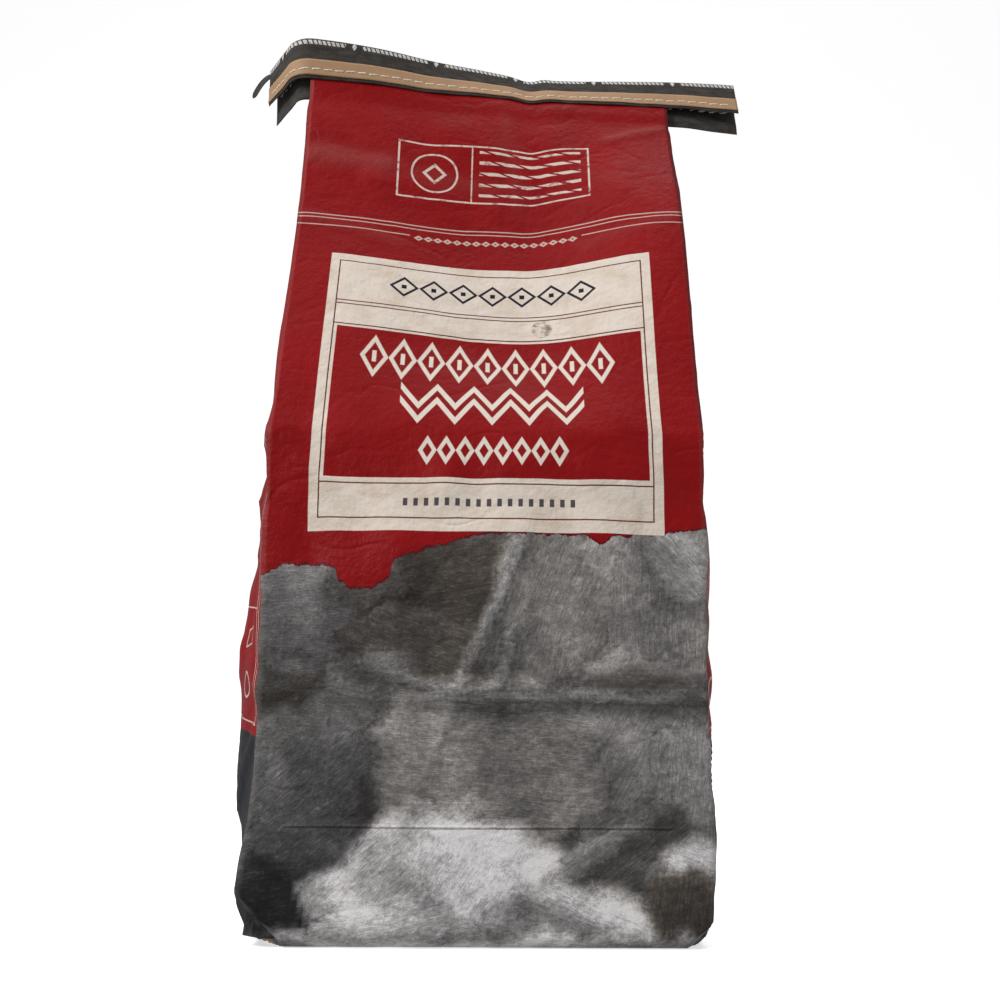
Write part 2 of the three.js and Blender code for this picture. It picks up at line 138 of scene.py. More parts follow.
# The inner ply: its gap from the outer one on the body and the neck, and columns averaged
LINER_GAP = 0.9
NECK_GAP = 0.4
LINER_BLUR = 2

# Points along the tape, round its fold, up the strip and round a thread, and to each stitch
ALONG_POINTS = 250
FOLD_POINTS = 56
STRIP_POINTS = 9
THREAD_SIDES = 8
NEEDLE_STEPS = 16
LOOPER_STEPS = 18

# Cells of the sack's grid
PANEL_CELLS = 80
GUSSET_CELLS = 30
WALL_CELLS = 184
BASE_CELLS = 14
ROUND_CELLS = 5


def length_property(name, description, default, least):
    """A length property, in metres."""
    return bpy.props.FloatProperty(
        name=name, description=description, default=default, min=least, unit="LENGTH")


class SackSizes(bpy.types.PropertyGroup):
    """Sizes that a user would change."""

    panel_width: length_property(
        "Panel width", "Width of the front and back panels", 0.254, 0.1)
    gusset_depth: length_property(
        "Gusset depth", "Depth of the filled sack at its base", 0.127, 0.05)
    paper: length_property(
        "Paper thickness", "Thickness of each paper ply", 0.0003, 0.0001)
    crumple: length_property(
        "Crumple", "Height of the largest flat facets of the crumpled paper", 0.0015, 0.0)
    front_flange: length_property(
        "Front flange", "How far the tape comes down in front", 0.031, 0.015)
    back_flange: length_property(
        "Back flange", "How far the tape comes down behind", 0.044, 0.015)
    strip_width: length_property(
        "Strip width", "Width of the pull strip", 0.012, 0.004)
    stitch: length_property(
        "Stitch pitch", "Distance from one stitch to the next", 0.0079, 0.004)
    thread: length_property(
        "Thread radius", "Radius of the sewing thread", 0.00052, 0.0002)


def colour_property(name, description, default):
    """A colour property with a linear default."""
    return bpy.props.FloatVectorProperty(
        name=name, description=description, subtype="COLOR", size=3, min=0, max=1, default=default)


class SackColours(bpy.types.PropertyGroup):
    """Colours that a user would change."""

    red: colour_property("Red", "Printed red of the sack", (0.265, 0.0030, 0.0045))
    cream: colour_property("Cream", "Unprinted label paper", (0.80, 0.70, 0.61))
    outline: colour_property("Outline", "Dark red of the fine lines", (0.10, 0.006, 0.010))
    ink: colour_property("Ink", "Blue-black of the header pattern", (0.012, 0.010, 0.030))
    charcoal: colour_property("Charcoal", "Darkest printed charcoal", (0.008, 0.0075, 0.008))
    ash: colour_property("Ash", "Lightest printed ash", (0.86, 0.84, 0.84))
    kraft: colour_property("Kraft", "Bare paper of the inner ply", (0.42, 0.27, 0.15))
    crepe: colour_property("Crepe", "Crepe tape", (0.026, 0.021, 0.018))
    tan: colour_property("Tan", "Pull strip", (0.40, 0.235, 0.125))
    cotton: colour_property("Cotton", "Sewing thread", (0.83, 0.74, 0.60))
    stage: colour_property("Stage", "Floor and backdrop", (0.93, 0.93, 0.93))


def sizes():
    return bpy.context.scene.sack_sizes


def colours():
    return bpy.context.scene.sack_colours


# ---- shaders ------------------------------------------------------------------------------


class Value:
    """A socket that takes part in Python arithmetic; each operation adds a Math node."""

    def __init__(self, recipe, socket):
        self.recipe = recipe
        self.socket = socket

    def math(self, operation, *others, clamp=False):
        """Adds a Math node with this value first; `clamp` holds its result to 0 to 1."""
        settings = {"operation": operation, "use_clamp": clamp}
        return self.recipe.node("ShaderNodeMath", settings, dict(enumerate((self, *others))))

    def __add__(self, other):
        return self.math("ADD", other)

    def __radd__(self, other):
        return self.math("ADD", other)

    def __sub__(self, other):
        return self.math("SUBTRACT", other)

    def __rsub__(self, other):
        return self.math("MULTIPLY_ADD", -1.0, other)

    def __mul__(self, other):
        return self.math("MULTIPLY", other)

    def __rmul__(self, other):
        return self.math("MULTIPLY", other)

    def __truediv__(self, other):
        return self.math("DIVIDE", other)

    def __abs__(self):
        return self.math("ABSOLUTE")

    def rises(self, at, over):
        """0 below `at` and 1 above it, changing over a width of `over`."""
        return self.math("MULTIPLY_ADD", 1 / over, 0.5 - at / over, clamp=True)

    def falls(self, at, over):
        """1 below `at` and 0 above it, changing over a width of `over`."""
        return self.math("MULTIPLY_ADD", -1 / over, 0.5 + at / over, clamp=True)

    def within(self, low, high, over=0.35):
        """1 between `low` and `high`."""
        return self.rises(low, over) * self.falls(high, over)

    def near(self, at, half, over=0.35):
        """1 within `half` of `at`."""
        return abs(self - at).falls(half, over)

    def repeat(self, pitch):
        """Wrapped into -pitch/2 to pitch/2."""
        return self.math("WRAP", pitch / 2, -pitch / 2)

    def most(self, other):
        return self.math("MAXIMUM", other)

    def least(self, other):
        return self.math("MINIMUM", other)


class Recipe:
    """The nodes of one material. Inputs are numbers, colours or Values."""

    def __init__(self, name):
        self.material = bpy.data.materials.new(name)
        self.material.use_nodes = True
        self.tree = self.material.node_tree
        self.tree.nodes.clear()

    def node(self, kind, settings=None, inputs=None, output=0):
        """Adds a node: settings first, then each input by name or number; returns an output."""
        node = self.tree.nodes.new(kind)
        for key, value in (settings or {}).items():
            setattr(node, key, value)
        for key, value in (inputs or {}).items():
            self.feed(node.inputs[key], value)
        return Value(self, node.outputs[output])

    def curve(self, value, places):
        """A number looked up on straight lines between places, which run from x = 0 to 1."""
        found = self.node("ShaderNodeFloatCurve", None, {"Value": value})
        mapping = found.socket.node.mapping
        line = mapping.curves[0]
        for place in places[1:-1]:
            line.points.new(*place)
        for point, place in zip(line.points, places):
            point.location = place
            point.handle_type = "VECTOR"
        mapping.update()
        return found

    def feed(self, socket, value):
        """Links a Value to a socket, or sets a number or a colour, whose alpha is then 1."""
        if isinstance(value, Value):
            self.tree.links.new(value.socket, socket)
        elif hasattr(value, "__len__"):
            size = len(socket.default_value)
            socket.default_value = tuple(value)[:size] + (1,) * (size - len(value))
        else:
            socket.default_value = value

    def mix(self, a, b, factor):
        """Colour a, painted over with colour b by a factor from 0 to 1."""
        settings = {"data_type": "RGBA", "blend_type": "MIX"}
        return self.node("ShaderNodeMix", settings, {0: factor, 6: a, 7: b}, output=2)

    def tint(self, colour, filter_colour, factor=1.0):
        """A colour multiplied by another, by a factor from 0 to 1."""
        settings = {"data_type": "RGBA", "blend_type": "MULTIPLY"}
        inputs = {0: factor, 6: colour, 7: filter_colour}
        return self.node("ShaderNodeMix", settings, inputs, output=2)

    def shade(self, colour, factor):
        """A colour made darker or lighter by a factor."""
        return self.tint(colour, self.node("ShaderNodeCombineColor", None,
                                           {0: factor, 1: factor, 2: factor}))

    def vector(self, x, y, z=0.0):
        return self.node("ShaderNodeCombineXYZ", None, {0: x, 1: y, 2: z})

    def noise(self, vector, scale, detail, roughness, distortion=0.0):
        """Cloudy noise from 0 to 1."""
        inputs = {"Vector": vector, "Scale": scale, "Detail": detail,
                  "Roughness": roughness, "Distortion": distortion}
        return self.node("ShaderNodeTexNoise", None, inputs)

    def cloud(self, x, y, z, detail, roughness, distortion=0.0):
        """Noise whose cells are one unit wide in x, y and z."""
        return self.noise(self.vector(x, y, z), 1.0, detail, roughness, distortion)

    def cracks(self, vector):
        """Distance to the nearest edge between random cells."""
        settings = {"feature": "DISTANCE_TO_EDGE"}
        return self.node("ShaderNodeTexVoronoi", settings, {"Vector": vector, "Scale": 1.0})

    def axes(self, vector, count):
        """The first `count` components of a vector."""
        return [self.node("ShaderNodeSeparateXYZ", None, {0: vector}, output=axis)
                for axis in range(count)]

    def paper_place(self):
        """Millimetres along and up the piece's own UV map."""
        across, up = self.axes(self.node("ShaderNodeUVMap", {"uv_map": PRINT_UV}), 2)
        return across / MM, up / MM

    def object_place(self):
        """The piece's own coordinates, in metres."""
        return self.node("ShaderNodeTexCoord", None, None, output=3)

    def painted(self, name):
        """A number kept on the mesh's points."""
        return self.node("ShaderNodeAttribute", {"attribute_name": name}, None, output=2)

    def bump(self, height, distance, normal=None):
        """Turns a height from 0 to 1, standing for `distance` metres, into a normal."""
        inputs = {"Height": height, "Distance": distance, "Strength": 1.0}
        if normal is not None:
            inputs["Normal"] = normal
        return self.node("ShaderNodeBump", None, inputs)

    def finish(self, **inputs):
        """Ends the recipe in a Principled shader; an underscore in a name stands for a space."""
        named = {key.replace("_", " "): value for key, value in inputs.items()}
        shader = self.node("ShaderNodeBsdfPrincipled", None, named)
        out = self.tree.nodes.new("ShaderNodeOutputMaterial")
        self.tree.links.new(shader.socket, out.inputs["Surface"])
        return self.material


# ---- meshes -------------------------------------------------------------------------------


def grid_mesh(name, points, wrap=False):
    """A mesh from a grid of points in millimetres, rows by columns.

    Each cell is one quad between neighbouring rows and columns, and `wrap` joins the last
    column to the first.
    """
    rows, columns = points.shape[:2]
    index = np.arange(rows * columns).reshape(rows, columns)
    left = index if wrap else index[:, :-1]
    right = np.roll(index, -1, axis=1) if wrap else index[:, 1:]
    quads = np.stack([left[:-1], right[:-1], right[1:], left[1:]], -1).reshape(-1, 4)
    mesh = bpy.data.meshes.new(name)
    mesh.from_pydata((points.reshape(-1, 3) * MM).tolist(), [], quads.tolist())
    return mesh


def grid_object(name, points, material, wrap=False, uv=None, values=None):
    """Makes a piece from a grid of points, with numbers painted on its points.

    `uv` holds each column's paper coordinates in millimetres, one column more if it wraps.
    Coinciding points are merged, so that a row drawn together to a line or a point closes.
    """
    mesh = grid_mesh(name, points, wrap)
    if uv is not None:
        left, right = uv[:, :-1], uv[:, 1:]
        corners = np.stack([left[:-1], right[:-1], right[1:], left[1:]], -2).reshape(-1, 2)
        layer = mesh.uv_layers.new(name=PRINT_UV)
        layer.data.foreach_set("uv", (corners * MM).astype(np.float32).ravel())
    for key, value in (values or {}).items():
        attribute = mesh.attributes.new(key, "FLOAT", "POINT")
        attribute.data.foreach_set("value", value.astype(np.float32).ravel())
    made = bmesh.new()
    made.from_mesh(mesh)
    bmesh.ops.remove_doubles(made, verts=made.verts, dist=MERGE_DISTANCE)
    made.to_mesh(mesh)
    made.free()
    mesh.shade_smooth()
    return add_piece(name, mesh, material)


def add_piece(name, mesh, material):
    """Links a mesh as a piece that rides on the sack."""
    piece = bpy.data.objects.new(name, mesh)
    bpy.context.scene.collection.objects.link(piece)
    mesh.materials.append(material)
    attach(piece, BODY)
    return piece


def thicken(piece, thickness):
    """Gives a sheet its thickness in metres, inwards from the face that was drawn."""
    solid = piece.modifiers.new("thickness", "SOLIDIFY")
    solid.thickness = thickness
    solid.offset = -1.0


# ---- the sack's shape -----------------------------------------------------------------------


def ease(low, high, value):
    """Eased step: 0 at and below `low`, 1 at and above `high`, as 3t^2 - 2t^3 between."""
    t = np.clip((value - low) / (high - low), 0, 1)
    return t * t * (3 - 2 * t)


def half_width():
    return sizes().panel_width / MM / 2


def half_depth():
    return sizes().gusset_depth / MM / 2


def perimeter():
    return 2 * (sizes().panel_width + sizes().gusset_depth) / MM


def closing(z):
    """How far up from the shoulder, 0, to the seam, 1, a height is."""
    return np.clip((z - SHOULDER_Z) / (SEAM_Z - SHOULDER_Z), 0, 1)


def wedge_depth(z):
    """Half the sack's depth: constant on the body, then falling evenly to the seam."""
    return half_depth() + (SEAM_HALF - half_depth()) * closing(z)


def fullness(z):
    """Share of the fill's bulge: a rounded half sine from the base to the shoulder."""
    wave = np.sin(np.pi * np.clip(z, 0, SHOULDER_Z) / SHOULDER_Z)
    return np.clip(wave, 0, 1) ** FILL_ROUNDNESS


def panel_fill(x, z):
    """How far the fill pushes a panel out: a half cosine across it."""
    return PANEL_BULGE * np.cos(np.pi * x / (2 * half_width())) * fullness(z)


def front_relief(x, z):
    """How far the front stands out from the plain wedge: fill, hollow trough and bowed edges."""
    reach = np.where(x > TROUGH_X, half_width() - TROUGH_X, half_width() + TROUGH_X)
    hollow = ease(SHOULDER_Z, TROUGH_FULL_Z, z) * (1 - ease(TROUGH_FADE_Z, SEAM_Z, z))
    trough = TROUGH_DEPTH * hollow * (1 - ease(0, 1, np.abs(x - TROUGH_X) / reach))
    bend = ease(SHOULDER_Z, BOW_Z, z) * (1 - ease(BOW_Z, SEAM_Z, z))
    right = RIGHT_BOW * ease(-BOW_X, half_width(), x)
    left = LEFT_HOLLOW * ease(-BOW_X, half_width(), -x)
    return panel_fill(x, z) - trough + bend * (right - left)


def upright(p, z):
    """x and y of the sack before it leans, at perimeter place p and height z.

    The front and back are the wedge plus their relief. A gusset runs from edge to edge; the
    fill pushes it out as a half sine and the tuck pulls its middle in as a tent. Where the
    sack is pressed, each half of the gusset lies at a third of the way to its panel, so that
    no two sheets touch, and joins the panel only near the edge.
    """
    width, depth = half_width(), wedge_depth(z)
    side = np.sign(p)
    t = np.clip((np.abs(p) - width) / (2 * half_depth()), 0, 1)
    front_edge = -depth - front_relief(side * width, z)
    share = 1 - 2 * t
    folded = np.clip(share / TUCK_BAND, -1, 1) / 3 \
        + np.sign(share) * ease(EDGE_BAND, 1.0, np.abs(share)) * 2 / 3
    share = share + (folded - share) * ease(PRESS_START, PRESS_END, closing(z))
    gusset_y = np.where(share > 0, front_edge * share, -depth * share)
    tuck = np.sqrt(np.clip(half_depth() ** 2 - depth ** 2, 0, None))
    out = GUSSET_BULGE * fullness(z) * np.sin(np.pi * t) - tuck * (1 - np.abs(2 * t - 1))
    back_x = perimeter() / 2 - p
    on_front = np.abs(p) <= width
    on_back = p >= width + 2 * half_depth()
    x = np.where(on_front, p, np.where(on_back, back_x, side * (width + out)))
    back_y = depth + panel_fill(back_x, z)
    y = np.where(on_front, -depth - front_relief(p, z), np.where(on_back, back_y, gusset_y))
    return x, y


def seam_y(x):
    """The seam's place behind the sack's middle plane: a straight line across."""
    share = (x + half_width()) / (2 * half_width())
    return SEAM_LEFT_Y + (SEAM_RIGHT_Y - SEAM_LEFT_Y) * share


def seam_lean(x):
    """How far the seam leans back: eased up to the middle and down again to the right."""
    rise = (LEAN_MIDDLE - LEAN_START) * ease(-half_width(), LEAN_MIDDLE_X, x)
    return LEAN_START + rise + (LEAN_END - LEAN_MIDDLE) * ease(LEAN_MIDDLE_X, LEAN_END_X, x)


def curl(height, lean):
    """Height and setback of a seam that bends along an arc to its lean and then runs straight."""
    lean = np.where(np.abs(lean) < LEAST_LEAN, LEAST_LEAN, lean)
    arc = np.minimum(height, LEAN_BEND)
    angle = lean * arc / LEAN_BEND
    radius = LEAN_BEND / lean
    rest = height - arc
    up = radius * np.sin(angle) + rest * np.cos(angle)
    back = radius * (1 - np.cos(angle)) + rest * np.sin(angle)
    return up, back, angle


def settle(x, y, z):
    """Leans the upright sack: the seam moves back and to the right, and curls back above."""
    t = closing(z)
    drop = SEAM_DROP * t * x / (2 * half_width())
    up, back, angle = curl(np.clip(z - SEAM_Z, 0, None), seam_lean(x))
    above = z > SEAM_Z
    moved_x = x + SIDE_LEAN * np.clip(z / SEAM_Z, 0, 1)
    moved_y = np.where(above, seam_y(x) + back + y * np.cos(angle), y + t * seam_y(x))
    moved_z = np.where(above, SEAM_Z + up - y * np.sin(angle), z) - drop
    return np.stack([moved_x, moved_y, moved_z], -1)


def sack_rows():
    """Inset from the base's edge and height of each row: across the base, round its edge, up."""
    flat = np.linspace(half_depth(), BASE_RADIUS, BASE_CELLS, endpoint=False)
    turn = np.linspace(0, np.pi / 2, ROUND_CELLS, endpoint=False)
    wall = np.linspace(BASE_RADIUS, MOUTH_Z, WALL_CELLS + 1)
    inset = np.concatenate([flat, BASE_RADIUS * (1 - np.sin(turn)), np.zeros(len(wall))])
    height = np.concatenate([np.zeros(len(flat)), BASE_RADIUS * (1 - np.cos(turn)), wall])
    return inset[:, None], height[:, None]


def upright_edges():
    """Perimeter places of the upright edges, from the left gusset's back edge all the way round."""
    width, depth = half_width(), 2 * half_depth()
    return [-width - depth, -width, width, width + depth, 3 * width + depth]


def sack_columns():
    """Perimeter places of the grid's columns, evenly spaced on each panel and gusset."""
    ends = upright_edges()
    cells = [GUSSET_CELLS, PANEL_CELLS, GUSSET_CELLS, PANEL_CELLS]
    parts = [np.linspace(a, b, n, endpoint=False) for a, b, n in zip(ends, ends[1:], cells)]
    return np.concatenate(parts)[None, :]


def plain_sack():
    """The smooth sack, its perimeter places and its heights up the paper.

    Below the base's rounded edge the outline is drawn in evenly to a line under the middle.
    The height up the paper adds up the distances between rows, 0 at the base's edge.
    """
    p = sack_columns()
    inset, z = sack_rows()
    x, y = upright(p, z + 0 * p)
    x = x * (half_width() - inset) / half_width()
    y = y * (half_depth() - inset) / half_depth()
    points = settle(x, y, z + 0 * p)
    steps = np.linalg.norm(np.diff(points, axis=0), axis=-1)
    up = np.concatenate([np.zeros((1, p.shape[1])), np.cumsum(steps, axis=0)])
    foot = BASE_CELLS + ROUND_CELLS
    return points, p + 0 * up, up - up[foot] + BASE_RADIUS


def facets(p, v, cell, seed):
    """Crumpled relief from -1 to 1, periodic round the sack.

    A lattice that wanders with slow sine waves has a random height at each corner, and each
    cell is two flat triangles between its corners.
    """
    count = round(perimeter() / cell)
    heights = np.random.default_rng(seed).uniform(-1, 1, (count, LATTICE_ROWS))
    turn = 2 * np.pi * p / perimeter()
    wander = np.sin(3 * turn + v / cell * 0.8) + np.sin(5 * turn - v / cell * 1.3 + seed)
    a = p / perimeter() * count + 0.3 * wander
    b = v / cell + 8 + 0.3 * np.sin(4 * turn + v / cell * 0.9 + seed) + 0.4 * a
    i, j = np.floor(a).astype(int), np.floor(b).astype(int)
    s, t = a - i, b - j

    def corner(di, dj):
        return heights[(i + di) % count, (j + dj) % LATTICE_ROWS]

    low = corner(0, 0) + s * (corner(1, 0) - corner(0, 0)) + t * (corner(0, 1) - corner(0, 0))
    high = corner(1, 1) + (1 - s) * (corner(0, 1) - corner(1, 1)) \
        + (1 - t) * (corner(1, 0) - corner(1, 1))
    return np.where(s + t < 1, low, high)


def lump_swells(p, v):
    """Soft round swells where lumps press on the paper: a sum of Gaussians, held at 1.2."""
    random = np.random.default_rng(SWELL_SEED)
    swell = np.zeros_like(v)
    for _ in range(SWELL_COUNT):
        at_p = random.uniform(-half_width() - 2 * half_depth(), perimeter() / 2 + half_width())
        at_v, wide, tall = random.uniform(20, 330), random.uniform(14, 32), random.uniform(12, 26)
        swell += np.exp(-((p - at_p) / wide) ** 2 - ((v - at_v) / tall) ** 2)
    return np.clip(swell, 0, 1.2)


# Creases of the front and sides: p and v at both ends, half width and height, in millimetres
CREASES = [
    (-102, 64, 94, 63, 1.5, -1.0),
    (-102, 60.5, 94, 59.5, 1.6, 0.5),
    (-46, 131, 50, 132, 1.4, -0.7),
    (-6, 135, 50, 136, 2.4, 0.7),
    (60, 150, 122, 144, 6.0, -2.0),
    (58, 139, 124, 136, 4.0, 1.2),
    (77, 531, 127, 551, 3.0, -2.2),
    (-127, 507, -62, 503, 8.0, -2.2),
    (-62, 503, 10, 489, 7.0, -1.0),
    (20, 470, 8, 560, 6.0, -0.8),
    (-127, 455, -52, 437, 4.0, -0.8),
    (56, 437, 127, 453, 5.0, -0.8),
    (-60, 40, -104, 62, 1.6, 0.7),
    (-104, 62, -118, 120, 1.8, 0.7),
    (100, 62, 122, 20, 1.8, 0.8),
    (104, 120, 102, 60, 1.6, 0.8),
    (60, 96, 82, 118, 2.0, -0.8),
    (-90, 118, -60, 64, 2.0, 0.6),
    (38, 62, 86, 104, 2.2, 0.7),
    (14, 12, 30, 22, 2.0, -1.2),
    (30, 22, 48, 10, 2.0, -1.0),
    (-190, 60, -128, 118, 2.5, 1.2),
    (190, 60, 128, 118, 2.5, 1.2),
    (-190, 215, -128, 284, 3.0, 1.6),
    (190, 215, 128, 284, 3.0, 1.6),
]


def crease_relief(p, v):
    """The listed creases: a Gaussian ridge or groove about each line, fading at its ends."""
    relief = np.zeros_like(v)
    for p0, v0, p1, v1, half, height in CREASES:
        along = np.array([p1 - p0, v1 - v0], float)
        length = np.hypot(*along)
        t = ((p - p0) * along[0] + (v - v0) * along[1]) / length ** 2
        held = np.clip(t, 0, 1)
        apart = np.hypot(p - p0 - held * along[0], v - v0 - held * along[1])
        fade = ease(-0.05, 0.12, t) * (1 - ease(0.88, 1.05, t))
        relief += CREASE_GAIN * height * fade * np.exp(-(apart / half) ** 2)
    return relief


def edge_distance(p):
    """Distance from the nearest of the four upright edges."""
    return np.min([np.abs(p - edge) for edge in upright_edges()], axis=0)


def sack_relief(p, v):
    """The paper's relief in millimetres: swells, three sizes of facets, and creases.

    The swells fade above the fill and at the upright edges. The facets are largest on the
    body, a third as high on the neck, and almost flat under the tape.
    """
    size = sizes().crumple / MM
    filled = ease(0, 30, v) * (1 - ease(300, 380, v))
    swells = lump_swells(p, v) - 0.5
    relief = SWELL_HEIGHT * swells * filled * ease(0, 26, edge_distance(p))
    loose = 0.35 + 0.65 * (1 - ease(240, 330, v)) + 0.35 * ease(430, 500, v)
    calm = 1 - 0.8 * ease(540, 556, v)
    for cell, share, seed in FACET_SIZES:
        relief += share * size * calm * loose * facets(p, v, cell, seed)
    return relief + crease_relief(p, v)


def front_place(p):
    """Place across the panel: the back repeats the front, and a gusset follows a panel."""
    quarter = perimeter() / 4
    return (p + quarter) % (2 * quarter) - quarter


def grid_normals(points):
    """Outward normals of a grid that closes on itself across its columns."""
    across = np.roll(points, -1, axis=1) - np.roll(points, 1, axis=1)
    upwards = np.gradient(points, axis=0)
    normal = np.cross(across, upwards)
    return normal / np.maximum(np.linalg.norm(normal, axis=-1, keepdims=True), 1e-9)


# Corners crushed flat: a point on each facet and the way it faces, in millimetres
CRUSHED = [
    ((-117, -56, 13), (-0.62, -0.42, -0.66)),
    ((122, -60, 9), (0.60, -0.35, -0.72)),
    ((-122, 60, 9), (-0.60, 0.40, -0.70)),
    ((121, 59, 10), (0.55, 0.45, -0.70)),
]


def crush(points):
    """Presses what stands past each crushed facet's plane back onto it."""
    for place, facing in CRUSHED:
        facing = np.array(facing) / np.linalg.norm(facing)
        past = np.clip((points - np.array(place)) @ facing, 0, None)
        points = points - past[..., None] * facing
    return points


def left_edge_shift(p, v):
    """How far the left front edge moves in: the difference of two eased steps up the sack."""
    near = 1 - ease(0, EDGE_SHIFT_BAND, np.abs(p + half_width()))
    return near * (EDGE_SHIFT * (1 - ease(0, SHOULDER_Z, v)) - EDGE_SHIFT * (1 - ease(10, 125, v)))


def dressed_sack():
    """The finished outer face, its paper coordinates and its wear.

    The relief is laid along the normals of the smooth sack. Where the sack is pressed together
    a panel's relief counts outwards only, a hollow giving a low rise instead, and a gusset has
    none. Then the left edge moves, the neck follows the tape's dips, the fill's bulge is drawn
    in at the middle of each gusset, and the bottom corners are crushed. Wear is largest on
    creases and on the upright edges, where it falls off as a Gaussian.
    """
    points, p, v = plain_sack()
    relief = sack_relief(p, v)
    pressed = ease(330, 440, v)
    on_gusset = np.abs(front_place(p)) > half_width()
    outwards = np.where(on_gusset, 0, np.maximum(relief, -LOW_SHARE * relief))
    relief = relief + (outwards - relief) * pressed
    on_wall = ease(0, 12, v)
    points = points + (relief * on_wall)[..., None] * grid_normals(points)
    points[..., 0] += left_edge_shift(p, v)
    points[..., 2] -= tape_sag(points[..., 0] - SIDE_LEAN + half_width()) * ease(400, SEAM_Z, v)
    gusset = 1 - ease(0, 60, np.abs(np.abs(p) - half_width() - half_depth()))
    points[..., 0] -= GUSSET_DRAW * gusset * fullness(v)
    points = crush(points)
    points[..., 2] = np.maximum(points[..., 2], 0.0)
    wear = 0.12 * np.abs(crease_relief(p, v)) + 0.5 * np.exp(-(edge_distance(p) / 1.2) ** 2)
    return points, p, v, np.clip(wear, 0, 1)


def paper_uv(p, v):
    """Paper coordinates of the sack's columns, the first of them again after a whole turn."""
    around = np.concatenate([p, p[:, :1] + perimeter()], axis=1)
    up = np.concatenate([v, v[:, :1]], axis=1)
    return np.stack([around, up], -1)


def liner_points(points, p, v):
    """The inner ply's face: set in along the normals, and averaged over columns at the edges."""
    gap = LINER_GAP - (LINER_GAP - NECK_GAP) * ease(330, 470, v)
    inside = points - gap[..., None] * grid_normals(points)
    shifts = range(-LINER_BLUR, LINER_BLUR + 1)
    blurred = sum(np.roll(inside, shift, axis=1) for shift in shifts) / len(shifts)
    near = 1 - ease(6, 13, edge_distance(p))
    return inside + near[..., None] * (blurred - inside)


# ---- the closure's shape --------------------------------------------------------------------


def tape_path(distance):
    """Plan path of the closure: straight along the seam, then an arc and a straight tail."""
    slope = math.atan2(SEAM_RIGHT_Y - SEAM_LEFT_Y, 2 * half_width())
    back = np.clip(-distance, 0, None)
    arc = np.minimum(back, TAIL_BEND_LENGTH)
    turn = TAIL_BEND * arc / TAIL_BEND_LENGTH
    radius, rest = TAIL_BEND_LENGTH / TAIL_BEND, back - arc
    aside = radius * np.sin(turn) + rest * np.cos(turn)
    behind = radius * (1 - np.cos(turn)) + rest * np.sin(turn)
    along = np.clip(distance, 0, None) - half_width()
    x = along - aside * math.cos(slope) + behind * math.sin(slope)
    y = seam_y(along) + behind * math.cos(slope) - aside * math.sin(slope)
    lean = np.where(distance < 0, LEAN_START, seam_lean(along))
    return x, y, slope - turn, lean, along


def tape_sag(distance):
    """How far the closure dips: two soft hollows, and a rise towards the right end."""
    x = distance - half_width()
    hollows = 1.8 * np.exp(-((x + 41) / 26) ** 2) + 2.6 * np.exp(-((x - 27) / 10) ** 2)
    return hollows - 4.6 * ease(0, 140, x)


def closure_point(distance, offset, z):
    """A point of the closure from its distance along, its offset behind and its height."""
    x, y, heading, lean, along = tape_path(distance)
    up, back, angle = curl(np.clip(z - SEAM_Z, 0, None), lean)
    out = back + offset * np.cos(angle)
    rise = up - offset * np.sin(angle) + np.minimum(0, z - SEAM_Z)
    height = SEAM_Z + rise - SEAM_DROP * along / (2 * half_width()) - tape_sag(distance)
    return np.stack(np.broadcast_arrays(
        SIDE_LEAN + x - out * np.sin(heading), y + out * np.cos(heading), height), -1)


def tape_top():
    return MOUTH_Z + TAPE_RISE


def strip_foot():
    return tape_top() - sizes().front_flange / MM + STRIP_RISE


def tape_profile(places):
    """Offset and height round the tape: up the front, over a round fold, down the back.

    `places` runs from 0 at the front flange's lower edge to 1 at the back flange's.
    """
    half = SEAM_HALF + TAPE_OUT
    front = sizes().front_flange / MM - half
    back = sizes().back_flange / MM - half
    fold = np.pi * half
    s = places * (front + fold + back)
    turn = np.clip((s - front) / half, 0, np.pi)
    offset = -half * np.cos(turn)
    height = half * np.sin(turn) - np.clip(front - s, 0, None) - np.clip(s - front - fold, 0, None)
    return offset, tape_top() - half + height, s - front - fold / 2


def flutter(distance):
    """The wave along both flanges: the sum of two sines."""
    return np.sin(distance / 9.0) + 0.6 * np.sin(distance / 4.1 + 1.3)


def right_end(distance):
    """0 where the tape lies on the sack and 1 at the end of its right tail."""
    return ease(2 * half_width() + 8, 2 * half_width() + TAIL_RIGHT, distance)


def front_sway(distance, below):
    """How far the front flange stands from flat, `below` millimetres under the fold's top.

    The wave grows evenly down the flange, and the ends splay as its power of one and a half.
    """
    flange = np.clip(below / FLANGE_LENGTH, 0, 1)
    tail = 1 - ease(-TAIL_LEFT, -TAIL_LEFT + 26, distance)
    splay = (1.0 * tail + 0.6 * right_end(distance)) * flange ** 1.5
    return 0.2 * flutter(distance) * flange - splay


def tape_distances():
    """Places along the tape from its left end to its right end, as a column."""
    return np.linspace(-TAIL_LEFT, 2 * half_width() + TAIL_RIGHT, ALONG_POINTS)[:, None]


def tape_grid():
    """The folded tape, with its flanges a little wavy and splayed at the ends.

    The fold rises and falls as a slow sine, and has one small bump to the right of its middle.
    """
    distance = tape_distances()
    places = np.linspace(0, 1, FOLD_POINTS)[None, :]
    offset, z, around = tape_profile(places)
    flange = np.clip(around / FLANGE_LENGTH, 0, 1)
    behind = 0.22 * flutter(distance) * flange + 1.5 * right_end(distance) * flange ** 1.5
    offset = offset + np.where(around < 0, front_sway(distance, -around), behind)
    z = z + 0.25 * np.sin(distance / 17.0 + 2) * np.cos(around / 12)
    bump = 1.6 * np.exp(-((distance - half_width() - 39) / 5) ** 2) * np.exp(-(around / 7) ** 2)
    points = closure_point(distance, offset, z + bump)
    return points, distance + 0 * around, around + 0 * distance


